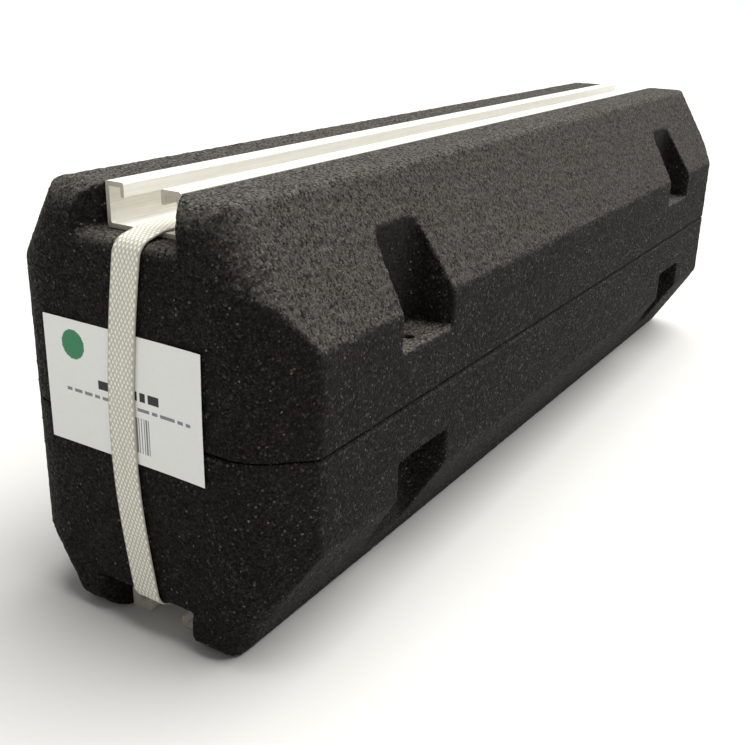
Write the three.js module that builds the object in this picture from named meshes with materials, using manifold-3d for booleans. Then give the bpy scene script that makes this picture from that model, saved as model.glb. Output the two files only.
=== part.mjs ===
// A pair of rubber floor supports, strapped base to base for delivery.
//
// Each support is a long block of bonded rubber granulate with an aluminium channel let into a
// slot along its narrow face. The upper support stands on its base, the lower one lies upside
// down beneath it, and a flat plastic strap runs through both channels and down both ends.
//
// Millimetres, +Z up. X runs along the supports and the labelled end is at -X. The origin is
// the centre of the footprint, on the surface that the pair stands on.

import * as THREE from 'three';
import { mergeVertices } from 'three/addons/utils/BufferGeometryUtils.js';
import Module from 'manifold-3d';

const wasm = await Module();
wasm.setup();

// ---- driving dimensions ------------------------------------------------------------------

const LENGTH = 600;              // block, end face to end face
const WIDTH = 160;               // block, across its upright sides
const PAIR_HEIGHT = 200;         // from the lips of one rail to the lips of the other
const SEAM_GAP = 0.3;            // air between the two bases
const GAP = 0.3;                 // air between any two neighbouring pieces
const RAIL_PROUD = 0.6;          // height of a rail above the rubber beside it
const BLOCK_HEIGHT = (PAIR_HEIGHT - SEAM_GAP) / 2 - RAIL_PROUD;

// Block section: upright side, sloping shoulder, narrow flat top. Heights are from the base.
const SHOULDER_HEIGHT = 44;
const TOP_WIDTH = 93;
const SHOULDER_RADIUS = 5;
const TOP_RADIUS = 6;
const BASE_RADIUS = 1.5;

// Block ends: each corner is cut off at 45 degrees and blended into the end face.
const CORNER_CUT = 21.5;
const CORNER_BLEND = 29;
const END_TOP_RADIUS = 13;       // where the end face rolls over into the top
const END_SLOPE_RADIUS = 15;     // and into the two slopes

// Rail: a channel with lips that turn in and then down.
const RAIL_WIDTH = 40;
const RAIL_HEIGHT = 19;
const RAIL_WALL = 2;
const RAIL_MOUTH = 20;           // clear width between the lips
const LIP_DROP = 6;              // depth of a lip's turned-down edge
const LIP_WALL = 1.8;
const BEND_RADIUS = 0.8;
const RAIL_INSET = 12.5;         // from a block's end face to the rail's end
const RAIL_LENGTH = LENGTH - 2 * RAIL_INSET;

// Slot for the rail, flared where it meets each end face.
const SLOT_WIDTH = RAIL_WIDTH + 2 * GAP;
const SLOT_DEPTH = RAIL_HEIGHT - RAIL_PROUD + GAP;
const SLOT_FLOOR = BLOCK_HEIGHT - SLOT_DEPTH;
const FLARE_WIDTH = 57;
const FLARE_RADIUS = 4;
const SILL_RADIUS = 5;           // rounded sill that the strap bends over

// Fixing pockets: two on each side of a block, open to the side and to the slope.
const POCKET_FROM_END = 106;
const POCKET_MOUTH = 46;
const POCKET_BACK = 36;
const POCKET_DEPTH = 20.5;
const POCKET_FLOOR = 26;
const POCKET_RADIUS = 6;
const ANCHOR_HOLE = 5.5;
const ANCHOR_FROM_SIDE = 11;

// Countersunk screws that hold each rail down.
const SCREW_NAMES = ['near', 'middle', 'far'];
const SCREW_PITCH = 225;
const SCREW_HEAD = 8;
const SCREW_HEAD_DEPTH = 1.7;
const SCREW_HEAD_RIM = 0.15;     // height of the head's upright edge
const SCREW_SHANK = 4.4;
const SCREW_LENGTH = 28;
const SCREW_TIP = 4;
const RECESS_LENGTH = 4.4;
const RECESS_WIDTH = 1;
const RECESS_DEPTH = 1.2;

// Strap: one closed band.
const STRAP_WIDTH = 14.5;
const STRAP_THICKNESS = 0.8;
const STRAP_STANDOFF = 0.9;      // from the end face to the strap's inner face
const STRAP_OFFSET = -4;         // sideways place of the strap in the rails
const STRAP_BOW = { near: 9, far: 4 };
const STRAP_STEPS = 16;          // straight pieces along each end face
const BEND_STEPS = 6;            // and round each sill

// Label, under the strap on the near end.
const LABEL_WIDTH = 88;
const LABEL_HEIGHT = 57;
const LABEL_THICKNESS = 0.3;
const LABEL_CENTRE = { y: 5, z: 114 };

const ARC_STEP = THREE.MathUtils.degToRad(15);
const ROUND_SEGMENTS = 20;       // sides of a screw and of the holes
const PILOT_SEGMENTS = 12;       // sides of a screw's pilot hole
const OVERCUT = 1;               // how far a cutting solid runs past what it cuts
const SKIM = 0.01;               // the same for the countersink, which must not widen
const WELD_DISTANCE = 1e-4;      // corners closer than this are one corner

// ---- materials ---------------------------------------------------------------------------

const rubber = new THREE.MeshStandardMaterial({ color: 0x2b2926, roughness: 0.92, metalness: 0 });
const aluminium = new THREE.MeshStandardMaterial({ color: 0xe9e4d4, roughness: 0.35, metalness: 0.9 });
const polypropylene = new THREE.MeshStandardMaterial({ color: 0xe1dccb, roughness: 0.45, metalness: 0 });
const paper = new THREE.MeshStandardMaterial({ color: 0xececea, roughness: 0.7, metalness: 0 });
const zincSteel = new THREE.MeshStandardMaterial({ color: 0xb9bcc0, roughness: 0.4, metalness: 1 });

// ---- outlines ----------------------------------------------------------------------------

const X = new THREE.Vector3(1, 0, 0);
const Y = new THREE.Vector3(0, 1, 0);
const Z = new THREE.Vector3(0, 0, 1);

// How an outline's own x, y and thickness lie in space.
const ALONG_X = new THREE.Matrix4().makeBasis(Y, Z, X);
const ALONG_Y = new THREE.Matrix4().makeBasis(X, Z, Y.clone().negate());
const ALONG_Z = new THREE.Matrix4();

// Points of a closed outline whose corners, each [x, y, radius], are rounded.
function roundedOutline(corners) {
  const points = [];
  corners.forEach(([x, y, radius], i) => {
    const corner = new THREE.Vector2(x, y);
    if (!radius) {
      points.push(corner);
      return;
    }
    const before = corners.at(i - 1);
    const after = corners[(i + 1) % corners.length];
    const back = new THREE.Vector2(before[0], before[1]).sub(corner).normalize();
    const on = new THREE.Vector2(after[0], after[1]).sub(corner).normalize();
    const half = Math.acos(THREE.MathUtils.clamp(back.dot(on), -1, 1)) / 2;
    const centre = back.clone().add(on).normalize().multiplyScalar(radius / Math.sin(half)).add(corner);
    const reach = radius / Math.tan(half);
    const start = back.multiplyScalar(reach).add(corner).sub(centre).angle();
    const end = on.multiplyScalar(reach).add(corner).sub(centre).angle();
    const turn = Math.atan2(Math.sin(end - start), Math.cos(end - start));
    const steps = Math.max(1, Math.ceil(Math.abs(turn) / ARC_STEP));
    for (let k = 0; k <= steps; k++) {
      const angle = start + (turn * k) / steps;
      points.push(new THREE.Vector2(Math.cos(angle), Math.sin(angle)).multiplyScalar(radius).add(centre));
    }
  });
  return points;
}

// Corners given on the +x side only, bottom to top, and repeated on the other side.
function mirrored(corners) {
  return [...corners, ...corners.map(([x, y, radius]) => [-x, y, radius]).reverse()];
}

// An outline thickened evenly to both sides of its plane.
function prism(points, thickness, lie) {
  const geometry = new THREE.ExtrudeGeometry(new THREE.Shape(points), {
    depth: thickness,
    bevelEnabled: false,
    curveSegments: 1,
  });
  return geometry.translate(0, 0, -thickness / 2).applyMatrix4(lie);
}

// ---- cutting and joining -----------------------------------------------------------------

function weld(geometry) {
  const bare = geometry.clone();
  bare.deleteAttribute('normal');
  bare.deleteAttribute('uv');
  return mergeVertices(bare, WELD_DISTANCE);
}

function toSolid(geometry) {
  const welded = weld(geometry);
  return new wasm.Manifold(new wasm.Mesh({
    numProp: 3,
    vertProperties: new Float32Array(welded.attributes.position.array),
    triVerts: new Uint32Array(welded.index.array),
  }));
}

function toGeometry(solid) {
  const mesh = solid.getMesh();
  const geometry = new THREE.BufferGeometry();
  geometry.setAttribute('position', new THREE.BufferAttribute(mesh.vertProperties, mesh.numProp));
  geometry.setIndex(new THREE.BufferAttribute(mesh.triVerts, 1));
  geometry.computeVertexNormals();
  return geometry;
}

const common = (...geometries) => geometries.map(toSolid).reduce((a, b) => a.intersect(b));
const cut = (solid, geometries) => geometries.map(toSolid).reduce((a, b) => a.subtract(b), solid);

// A round cutter or rod standing on the Z axis between two heights.
function upright(diameter, bottom, top, segments = ROUND_SEGMENTS) {
  return new THREE.CylinderGeometry(diameter / 2, diameter / 2, top - bottom, segments)
    .rotateX(Math.PI / 2)
    .translate(0, 0, (bottom + top) / 2);
}

// ---- the block, with its base at z = 0 ---------------------------------------------------

// A prism as long as the block, its upper end edges rounded; top is its highest level.
function endProfile(bottom, top, radius, lie) {
  const end = LENGTH / 2;
  const outline = roundedOutline(mirrored([
    [end, bottom, BASE_RADIUS],
    [end, top, radius],
  ]));
  return prism(outline, 2 * WIDTH, lie);
}

// The same prism leaning with the slope on one side of the block; side is -1 or 1.
function slopeProfile(side) {
  const rise = BLOCK_HEIGHT - SHOULDER_HEIGHT;
  const run = (WIDTH - TOP_WIDTH) / 2;
  const outward = new THREE.Vector3(0, side * rise, run).normalize();
  const distance = outward.dot(new THREE.Vector3(0, (side * WIDTH) / 2, SHOULDER_HEIGHT));
  const lie = new THREE.Matrix4().makeBasis(X, outward, X.clone().cross(outward));
  return endProfile(-2 * WIDTH, distance, END_SLOPE_RADIUS, lie);
}

function blockForm() {
  const side = WIDTH / 2;
  const end = LENGTH / 2;
  const section = roundedOutline(mirrored([
    [side, 0, BASE_RADIUS],
    [side, SHOULDER_HEIGHT, SHOULDER_RADIUS],
    [TOP_WIDTH / 2, BLOCK_HEIGHT, TOP_RADIUS],
  ]));
  const plan = roundedOutline(mirrored([
    [end - CORNER_CUT, -side, SHOULDER_RADIUS],
    [end, CORNER_CUT - side, CORNER_BLEND],
    [end, side - CORNER_CUT, CORNER_BLEND],
    [end - CORNER_CUT, side, SHOULDER_RADIUS],
  ]));
  return common(
    prism(section, LENGTH + 2 * OVERCUT, ALONG_X),
    prism(plan, 3 * BLOCK_HEIGHT, ALONG_Z),
    endProfile(0, BLOCK_HEIGHT, END_TOP_RADIUS, ALONG_Y),
    slopeProfile(-1),
    slopeProfile(1),
  );
}

function slotCutter() {
  const end = LENGTH / 2 + OVERCUT;
  const narrow = LENGTH / 2 - RAIL_INSET;
  const height = SLOT_DEPTH + OVERCUT;
  const plan = roundedOutline(mirrored([
    [narrow, -SLOT_WIDTH / 2, FLARE_RADIUS],
    [end, -FLARE_WIDTH / 2, 0],
    [end, FLARE_WIDTH / 2, 0],
    [narrow, SLOT_WIDTH / 2, FLARE_RADIUS],
  ]));
  return prism(plan, height, ALONG_Z).translate(0, 0, SLOT_FLOOR + height / 2);
}

// Takes the sharp edge off the slot's floor at one end; end is -1 or 1.
function sillCutter(end) {
  const face = LENGTH / 2;
  const points = [
    new THREE.Vector2(face - SILL_RADIUS, SLOT_FLOOR + OVERCUT),
    new THREE.Vector2(face + OVERCUT, SLOT_FLOOR + OVERCUT),
    new THREE.Vector2(face + OVERCUT, SLOT_FLOOR - SILL_RADIUS),
  ];
  for (let k = 0; k <= BEND_STEPS; k++) {
    const angle = (Math.PI / 2) * (k / BEND_STEPS);
    points.push(new THREE.Vector2(
      face - SILL_RADIUS + SILL_RADIUS * Math.cos(angle),
      SLOT_FLOOR - SILL_RADIUS + SILL_RADIUS * Math.sin(angle),
    ));
  }
  const outline = points.map((p) => new THREE.Vector2(p.x * end, p.y));
  return prism(outline, FLARE_WIDTH, ALONG_Y);
}

// One fixing pocket and the anchor hole in its floor; end and side are -1 or 1.
function pocketCutters(end, side) {
  const face = WIDTH / 2;
  const back = face - POCKET_DEPTH;
  const outside = face + OVERCUT;
  const plan = roundedOutline([
    [POCKET_BACK / 2, back, POCKET_RADIUS],
    [POCKET_MOUTH / 2, outside, 0],
    [-POCKET_MOUTH / 2, outside, 0],
    [-POCKET_BACK / 2, back, POCKET_RADIUS],
  ]).map((p) => new THREE.Vector2(p.x, p.y * side));
  const x = end * (LENGTH / 2 - POCKET_FROM_END);
  const height = BLOCK_HEIGHT - POCKET_FLOOR + OVERCUT;
  return [
    prism(plan, height, ALONG_Z).translate(x, 0, POCKET_FLOOR + height / 2),
    upright(ANCHOR_HOLE, -OVERCUT, POCKET_FLOOR + OVERCUT).translate(x, side * (face - ANCHOR_FROM_SIDE), 0),
  ];
}

function screwStations() {
  return SCREW_NAMES.map((name, i) => ({ name, x: (i - 1) * SCREW_PITCH }));
}

function makeBlock() {
  const pilotDepth = SCREW_LENGTH - RAIL_WALL + OVERCUT;
  const cutters = [slotCutter(), sillCutter(-1), sillCutter(1)];
  for (const end of [-1, 1]) {
    for (const side of [-1, 1]) cutters.push(...pocketCutters(end, side));
  }
  for (const { x } of screwStations()) {
    const pilot = upright(
      SCREW_SHANK + 2 * GAP,
      SLOT_FLOOR - pilotDepth,
      SLOT_FLOOR + OVERCUT,
      PILOT_SEGMENTS,
    );
    cutters.push(pilot.translate(x, 0, 0));
  }
  return toGeometry(cut(blockForm(), cutters));
}

// ---- the rail, with its underside at z = 0 -----------------------------------------------

function makeRail() {
  const out = RAIL_WIDTH / 2;
  const mouth = RAIL_MOUTH / 2;
  const section = roundedOutline(mirrored([
    [out, 0, BEND_RADIUS],
    [out, RAIL_HEIGHT, BEND_RADIUS],
    [mouth, RAIL_HEIGHT, BEND_RADIUS],
    [mouth, RAIL_HEIGHT - LIP_DROP, LIP_WALL / 3],
    [mouth + LIP_WALL, RAIL_HEIGHT - LIP_DROP, LIP_WALL / 3],
    [mouth + LIP_WALL, RAIL_HEIGHT - RAIL_WALL, 0],
    [out - RAIL_WALL, RAIL_HEIGHT - RAIL_WALL, 0],
    [out - RAIL_WALL, RAIL_WALL, BEND_RADIUS],
  ]));
  const rail = toSolid(prism(section, RAIL_LENGTH, ALONG_X));
  const countersink = new THREE.CylinderGeometry(
    SCREW_HEAD / 2 + GAP,
    SCREW_SHANK / 2 + GAP,
    SCREW_HEAD_DEPTH,
    ROUND_SEGMENTS,
  ).rotateX(Math.PI / 2).translate(0, 0, RAIL_WALL - SCREW_HEAD_DEPTH / 2 + SKIM);
  const through = upright(SCREW_SHANK + 2 * GAP, -OVERCUT, RAIL_WALL + OVERCUT);
  const cutters = screwStations().flatMap(({ x }) => [
    countersink.clone().translate(x, 0, 0),
    through.clone().translate(x, 0, 0),
  ]);
  return toGeometry(cut(rail, cutters));
}

// ---- a rail screw, with its head's face at z = 0 -----------------------------------------

function makeScrew() {
  const head = SCREW_HEAD / 2;
  const shank = SCREW_SHANK / 2;
  const profile = [
    [0, -SCREW_LENGTH],
    [shank, SCREW_TIP - SCREW_LENGTH],
    [shank, -SCREW_HEAD_DEPTH],
    [head, -SCREW_HEAD_RIM],
    [head, 0],
    [0, 0],
  ].map(([r, z]) => new THREE.Vector2(r, z));
  const turned = new THREE.LatheGeometry(profile, ROUND_SEGMENTS).rotateX(Math.PI / 2);
  const slot = new THREE.BoxGeometry(RECESS_LENGTH, RECESS_WIDTH, 2 * RECESS_DEPTH);
  return toGeometry(cut(toSolid(turned), [slot, slot.clone().rotateZ(Math.PI / 2)]));
}

// ---- the strap ---------------------------------------------------------------------------

// One quarter of the loop, from a rail's floor to the middle of the end face, as a list of
// [x, z] with z measured up from the seam; offset moves it out from the strap's inner face.
function strapQuarter(offset) {
  const railFloor = BLOCK_HEIGHT + SEAM_GAP / 2 - SLOT_DEPTH + GAP + RAIL_WALL;
  const level = railFloor + GAP + offset;
  const centre = { x: LENGTH / 2 - SILL_RADIUS, z: SLOT_FLOOR + SEAM_GAP / 2 - SILL_RADIUS };
  const face = LENGTH / 2 + STRAP_STANDOFF + offset;
  const radius = face - centre.x;
  const lift = { x: RAIL_LENGTH / 2 + GAP - centre.x, z: level - centre.z };
  const tangent = Math.atan2(lift.z, lift.x) - Math.acos(radius / Math.hypot(lift.x, lift.z));
  const points = [[lift.x + centre.x, level]];
  for (let k = 0; k <= BEND_STEPS; k++) {
    const angle = tangent * (1 - k / BEND_STEPS);
    points.push([centre.x + radius * Math.cos(angle), centre.z + radius * Math.sin(angle)]);
  }
  for (let k = 1; k < STRAP_STEPS / 2; k++) points.push([face, centre.z * (1 - (2 * k) / STRAP_STEPS)]);
  return points;
}

function strapLoop(offset) {
  const quarter = strapQuarter(offset);
  const farEnd = [...quarter, [quarter.at(-1)[0], 0], ...quarter.map(([x, z]) => [x, -z]).reverse()];
  const loop = [...farEnd, ...farEnd.map(([x, z]) => [-x, z]).reverse()];
  return loop.map(([x, z]) => new THREE.Vector2(x, z + PAIR_HEIGHT / 2));
}

// How far the strap's middle has strayed sideways at a point of its loop.
function strapSway(x, z) {
  const bow = x < 0 ? STRAP_BOW.near : STRAP_BOW.far;
  const height = (z - PAIR_HEIGHT / 2) / (SLOT_FLOOR + SEAM_GAP / 2);
  return STRAP_OFFSET + bow * Math.cos(THREE.MathUtils.clamp(height, -1, 1) * (Math.PI / 2));
}

// The band is a ring of four-cornered sections, one at each point of the loop.
function makeStrap() {
  const inner = strapLoop(0);
  const outer = strapLoop(STRAP_THICKNESS);
  const half = STRAP_WIDTH / 2;
  const corners = [];
  const triangles = [];
  inner.forEach((inside, i) => {
    const outside = outer[i];
    const middle = strapSway(inside.x, inside.y);
    corners.push(inside.x, middle - half, inside.y, inside.x, middle + half, inside.y);
    corners.push(outside.x, middle + half, outside.y, outside.x, middle - half, outside.y);
    const here = 4 * i;
    const next = 4 * ((i + 1) % inner.length);
    for (let k = 0; k < 4; k++) {
      const m = (k + 1) % 4;
      triangles.push(here + k, here + m, next + m, here + k, next + m, next + k);
    }
  });
  const band = new THREE.BufferGeometry();
  band.setAttribute('position', new THREE.Float32BufferAttribute(corners, 3));
  band.setIndex(triangles);
  band.computeVertexNormals();
  return band;
}

// ---- the label ---------------------------------------------------------------------------

function makeLabel() {
  return new THREE.BoxGeometry(LABEL_THICKNESS, LABEL_WIDTH, LABEL_HEIGHT);
}

// ---- assembly ----------------------------------------------------------------------------

function piece(name, geometry, material) {
  const mesh = new THREE.Mesh(geometry, material);
  mesh.name = name;
  return mesh;
}

// One support, with the seam plane at z = 0 and its rail uppermost.
function makeSupport(prefix) {
  const support = new THREE.Group();
  const block = piece(`${prefix}_block`, makeBlock(), rubber);
  block.position.z = SEAM_GAP / 2;
  const rail = piece(`${prefix}_rail`, makeRail(), aluminium);
  rail.position.z = block.position.z + SLOT_FLOOR + GAP;
  support.add(block, rail);
  for (const { name, x } of screwStations()) {
    const screw = piece(`${prefix}_rail_screw_${name}`, makeScrew(), zincSteel);
    screw.position.set(x, 0, rail.position.z + RAIL_WALL);
    support.add(screw);
  }
  support.position.z = PAIR_HEIGHT / 2;
  return support;
}

const pair = new THREE.Group();

const upper = makeSupport('upper');
const lower = makeSupport('lower');
lower.rotation.x = Math.PI;

const strap = piece('strap', makeStrap(), polypropylene);

const label = piece('label', makeLabel(), paper);
label.position.set(-(LENGTH + LABEL_THICKNESS) / 2 - GAP, LABEL_CENTRE.y, LABEL_CENTRE.z);

pair.add(upper, lower, strap, label);

export default pair;
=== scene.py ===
"""A strapped pair of rubber floor supports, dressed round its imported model.

Two long blocks of bonded rubber granulate lie base to base. Each has an aluminium channel let
into its narrow face, and one flat plastic strap runs through both channels and down both ends,
over a paper label. Every length is in metres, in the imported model's own frame: X runs along the
supports from the labelled end, Z is up, and the origin is on the floor under the middle.
"""

import logging
import math
from dataclasses import dataclass, field
from enum import Enum

import bmesh
import bpy
import numpy as np
from mathutils import Matrix, Vector


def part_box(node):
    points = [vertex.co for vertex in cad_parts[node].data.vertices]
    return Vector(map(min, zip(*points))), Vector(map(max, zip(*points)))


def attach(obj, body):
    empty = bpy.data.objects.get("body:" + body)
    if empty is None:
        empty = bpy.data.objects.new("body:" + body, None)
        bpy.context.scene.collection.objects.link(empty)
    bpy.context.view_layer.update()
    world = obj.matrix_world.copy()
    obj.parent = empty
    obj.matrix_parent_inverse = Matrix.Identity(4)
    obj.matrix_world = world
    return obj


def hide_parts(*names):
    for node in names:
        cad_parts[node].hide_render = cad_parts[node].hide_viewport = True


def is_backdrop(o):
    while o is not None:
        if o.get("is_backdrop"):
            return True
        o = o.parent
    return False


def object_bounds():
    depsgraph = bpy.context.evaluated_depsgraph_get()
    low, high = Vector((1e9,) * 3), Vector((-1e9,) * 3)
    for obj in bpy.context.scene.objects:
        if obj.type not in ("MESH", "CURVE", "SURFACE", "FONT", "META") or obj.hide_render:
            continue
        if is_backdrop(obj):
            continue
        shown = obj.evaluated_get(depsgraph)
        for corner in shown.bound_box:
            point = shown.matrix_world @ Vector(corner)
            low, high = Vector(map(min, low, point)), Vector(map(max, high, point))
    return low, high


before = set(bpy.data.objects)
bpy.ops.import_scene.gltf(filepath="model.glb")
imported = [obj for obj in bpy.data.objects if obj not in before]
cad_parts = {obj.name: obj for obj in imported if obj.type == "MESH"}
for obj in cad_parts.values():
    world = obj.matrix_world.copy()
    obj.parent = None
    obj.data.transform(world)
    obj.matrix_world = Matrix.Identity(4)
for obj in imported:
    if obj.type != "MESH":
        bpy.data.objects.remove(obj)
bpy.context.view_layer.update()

log = logging.getLogger("floor_supports")

MM = 0.001
MERGE_DISTANCE = 0.001 * MM
BODY = "root"
BAND_UV = "band_uv"
EMBOSS_ATTRIBUTE = "raised_lattice"
INK_ATTRIBUTE = "ink"

Colour = tuple[float, float, float, float]


# ---- meshes ------------------------------------------------------------------------------


def link_mesh(name: str, mesh: bpy.types.Mesh) -> bpy.types.Object:
    """Put a mesh in the scene as an object that stands at the origin.

    Args:
        name: Name of the object and of its mesh.
        mesh: The mesh to show.

    Returns:
        The new object.
    """
    mesh.name = name
    piece = bpy.data.objects.new(name, mesh)
    bpy.context.scene.collection.objects.link(piece)
    return piece


def merged_copy(node: str) -> bpy.types.Mesh:
    """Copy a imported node's mesh and merge its loose triangles into one closed surface.

    Args:
        node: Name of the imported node.

    Returns:
        A new mesh that shares no data with the node.
    """
    shell = bmesh.new()
    shell.from_mesh(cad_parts[node].data)
    bmesh.ops.remove_doubles(shell, verts=shell.verts, dist=MERGE_DISTANCE)
    mesh = bpy.data.meshes.new(node)
    shell.to_mesh(mesh)
    shell.free()
    return mesh


def settle(piece: bpy.types.Object) -> None:
    """Turn a piece's live modifiers into a plain mesh and remove them.

    Args:
        piece: The object whose evaluated mesh is kept.
    """
    depsgraph = bpy.context.evaluated_depsgraph_get()
    plain = bpy.data.meshes.new_from_object(piece.evaluated_get(depsgraph))
    piece.modifiers.clear()
    piece.data = plain
    plain.name = piece.name


def grow(
    piece: bpy.types.Object,
    tree: bpy.types.NodeTree,
    values: dict[str, float | int | bpy.types.Material],
) -> None:
    """Run a geometry node tree on a piece and keep what it makes.

    Args:
        piece: The object that the tree starts from.
        tree: The geometry node tree.
        values: What each named input of the tree is set to.
    """
    modifier = piece.modifiers.new(tree.name, "NODES")
    modifier.node_group = tree
    for item in tree.interface.items_tree:
        if item.in_out == "INPUT" and item.name in values:
            modifier[item.identifier] = values[item.name]
    settle(piece)


def declare(piece: bpy.types.Object, slot: str, *nodes: str) -> None:
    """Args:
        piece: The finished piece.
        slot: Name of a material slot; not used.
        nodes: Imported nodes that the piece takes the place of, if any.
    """
    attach(piece, BODY)
    if nodes:
        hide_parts(*nodes)
    log.info("%s: %d faces", piece.name, len(piece.data.polygons))


# ---- finishes ----------------------------------------------------------------------------


@dataclass(frozen=True)
class GranulateRubber:
    """Bonded crumb rubber: near-black granules, each tilted its own way; rare pale ones are
    partly painted glints.

    Attributes:
        granule: Width of one granule.
        dark: Colour of the darkest granules.
        common: Colour of most granules.
        worn: Colour of granules scuffed grey.
        pale: Colour of the rare pale ones, partly pale crumb and partly painted glints.
        dust: Colour mixed onto upward faces: partly settled dust, partly painted sheen of the
            overhead light.
        seam_height: Height of the seam, kept free of dust and sheen as painted shade.
    """

    granule: float = 0.95 * MM
    dark: Colour = (0.0045, 0.0045, 0.004, 1)
    common: Colour = (0.0085, 0.008, 0.007, 1)
    worn: Colour = (0.020, 0.0185, 0.016, 1)
    pale: Colour = (0.13, 0.125, 0.11, 1)
    dust: Colour = (0.125, 0.118, 0.106, 1)
    seam_height: float = 0.1

    def material(self) -> bpy.types.Material:
        """Build the node tree of the rubber.

        Returns:
            The finished material.
        """
        material = bpy.data.materials.new("granulate_rubber")
        material.use_nodes = True
        nodes = material.node_tree.nodes
        links = material.node_tree.links
        nodes.clear()

        granule_frame = nodes.new("NodeFrame")
        granule_frame.label = "Granules, each with its own tone"
        tone_frame = nodes.new("NodeFrame")
        tone_frame.label = "Uneven pressing and dust"
        facet_frame = nodes.new("NodeFrame")
        facet_frame.label = "Facets that tilt each granule"
        gloss_frame = nodes.new("NodeFrame")
        gloss_frame.label = "Freshly cut granules that glint"
        dust_and_sheen_frame = nodes.new("NodeFrame")
        dust_and_sheen_frame.label = "Dust and painted sheen on upward faces"

        place = nodes.new("ShaderNodeTexCoord")
        place.label = "Place in the block"
        place.location = (-1700, 0)

        granules = nodes.new("ShaderNodeTexVoronoi")
        granules.label = "Packed granules"
        granules.location = (-1400, 300)
        granules.parent = granule_frame
        granules.feature = "F1"
        granules.inputs["Scale"].default_value = 1 / self.granule
        links.new(place.outputs["Object"], granules.inputs["Vector"])

        chance = nodes.new("ShaderNodeSeparateColor")
        chance.label = "Random numbers of a granule"
        chance.location = (-1180, 320)
        chance.parent = granule_frame
        links.new(granules.outputs["Color"], chance.inputs["Color"])

        tones = nodes.new("ShaderNodeValToRGB")
        tones.label = "Tone of a granule"
        tones.location = (-960, 420)
        tones.parent = granule_frame
        stops = tones.color_ramp.elements
        stops[0].position = 0.0
        stops[0].color = self.dark
        stops[1].position = 0.55
        stops[1].color = self.common
        # The rarest granules take the pale colour: partly pale crumb, partly painted glints.
        for position, colour in ((0.90, self.worn), (0.985, self.worn), (0.997, self.pale)):
            stop = stops.new(position)
            stop.color = colour
        links.new(chance.outputs["Red"], tones.inputs["Fac"])

        # Painted shade: each granule's colour is darkened towards its edge, where shade falls
        # between granules.
        painted_crevice_shade = nodes.new("ShaderNodeMapRange")
        painted_crevice_shade.label = "Shade between granules"
        painted_crevice_shade.location = (-960, 160)
        painted_crevice_shade.parent = granule_frame
        painted_crevice_shade.inputs["From Min"].default_value = 0.35
        painted_crevice_shade.inputs["From Max"].default_value = 0.85
        painted_crevice_shade.inputs["To Min"].default_value = 1.0
        painted_crevice_shade.inputs["To Max"].default_value = 0.25
        links.new(granules.outputs["Distance"], painted_crevice_shade.inputs["Value"])

        shaded = nodes.new("ShaderNodeMix")
        shaded.label = "Granules with painted shade between them"
        shaded.location = (-640, 320)
        shaded.parent = granule_frame
        shaded.data_type = "RGBA"
        shaded.blend_type = "MULTIPLY"
        shaded.inputs["Factor"].default_value = 1.0
        links.new(tones.outputs["Color"], shaded.inputs["A"])
        links.new(painted_crevice_shade.outputs["Result"], shaded.inputs["B"])

        pressing = nodes.new("ShaderNodeTexNoise")
        pressing.label = "Uneven pressing"
        pressing.location = (-960, -140)
        pressing.parent = tone_frame
        pressing.inputs["Scale"].default_value = 34.0
        pressing.inputs["Detail"].default_value = 5.0
        pressing.inputs["Roughness"].default_value = 0.6
        links.new(place.outputs["Object"], pressing.inputs["Vector"])

        dust = nodes.new("ShaderNodeValToRGB")
        dust.label = "Brown to grey dust"
        dust.location = (-740, -140)
        dust.parent = tone_frame
        dust.color_ramp.elements[0].position = 0.32
        dust.color_ramp.elements[0].color = (0.78, 0.66, 0.56, 1)
        dust.color_ramp.elements[1].position = 0.68
        dust.color_ramp.elements[1].color = (1.12, 1.08, 1.0, 1)
        links.new(pressing.outputs["Fac"], dust.inputs["Fac"])

        tinted = nodes.new("ShaderNodeMix")
        tinted.label = "Granules under dust"
        tinted.location = (-400, 160)
        tinted.parent = tone_frame
        tinted.data_type = "RGBA"
        tinted.blend_type = "MULTIPLY"
        tinted.inputs["Factor"].default_value = 1.0
        links.new(shaded.outputs["Result"], tinted.inputs["A"])
        links.new(dust.outputs["Color"], tinted.inputs["B"])

        # Partly dust, partly painted sheen: the more a face points up, the more its colour is
        # mixed towards the pale dust colour, standing in for the light on the tops.
        facing = nodes.new("ShaderNodeNewGeometry")
        facing.label = "Way that the surface faces"
        facing.location = (-960, -1500)
        facing.parent = dust_and_sheen_frame

        upward = nodes.new("ShaderNodeSeparateXYZ")
        upward.label = "How far it faces up"
        upward.location = (-740, -1500)
        upward.parent = dust_and_sheen_frame
        links.new(facing.outputs["True Normal"], upward.inputs["Vector"])

        upward_dust_and_sheen = nodes.new("ShaderNodeMapRange")
        upward_dust_and_sheen.label = "Dust and painted sheen by facing up"
        upward_dust_and_sheen.location = (-520, -1500)
        upward_dust_and_sheen.parent = dust_and_sheen_frame
        upward_dust_and_sheen.interpolation_type = "SMOOTHSTEP"
        upward_dust_and_sheen.inputs["From Min"].default_value = 0.0
        upward_dust_and_sheen.inputs["From Max"].default_value = 0.85
        upward_dust_and_sheen.inputs["To Max"].default_value = 1.0
        links.new(upward.outputs["Z"], upward_dust_and_sheen.inputs["Value"])

        # Painted shade: within about 1.8 mm of the seam the dust and sheen fade out, so the seam
        # stays a dark line.
        height = nodes.new("ShaderNodeSeparateXYZ")
        height.label = "Height in the pair"
        height.location = (-960, -1760)
        height.parent = dust_and_sheen_frame
        links.new(place.outputs["Object"], height.inputs["Vector"])

        from_seam = nodes.new("ShaderNodeMath")
        from_seam.label = "Height from the seam"
        from_seam.location = (-740, -1760)
        from_seam.parent = dust_and_sheen_frame
        from_seam.operation = "SUBTRACT"
        from_seam.inputs[1].default_value = self.seam_height
        links.new(height.outputs["Z"], from_seam.inputs[0])

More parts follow.
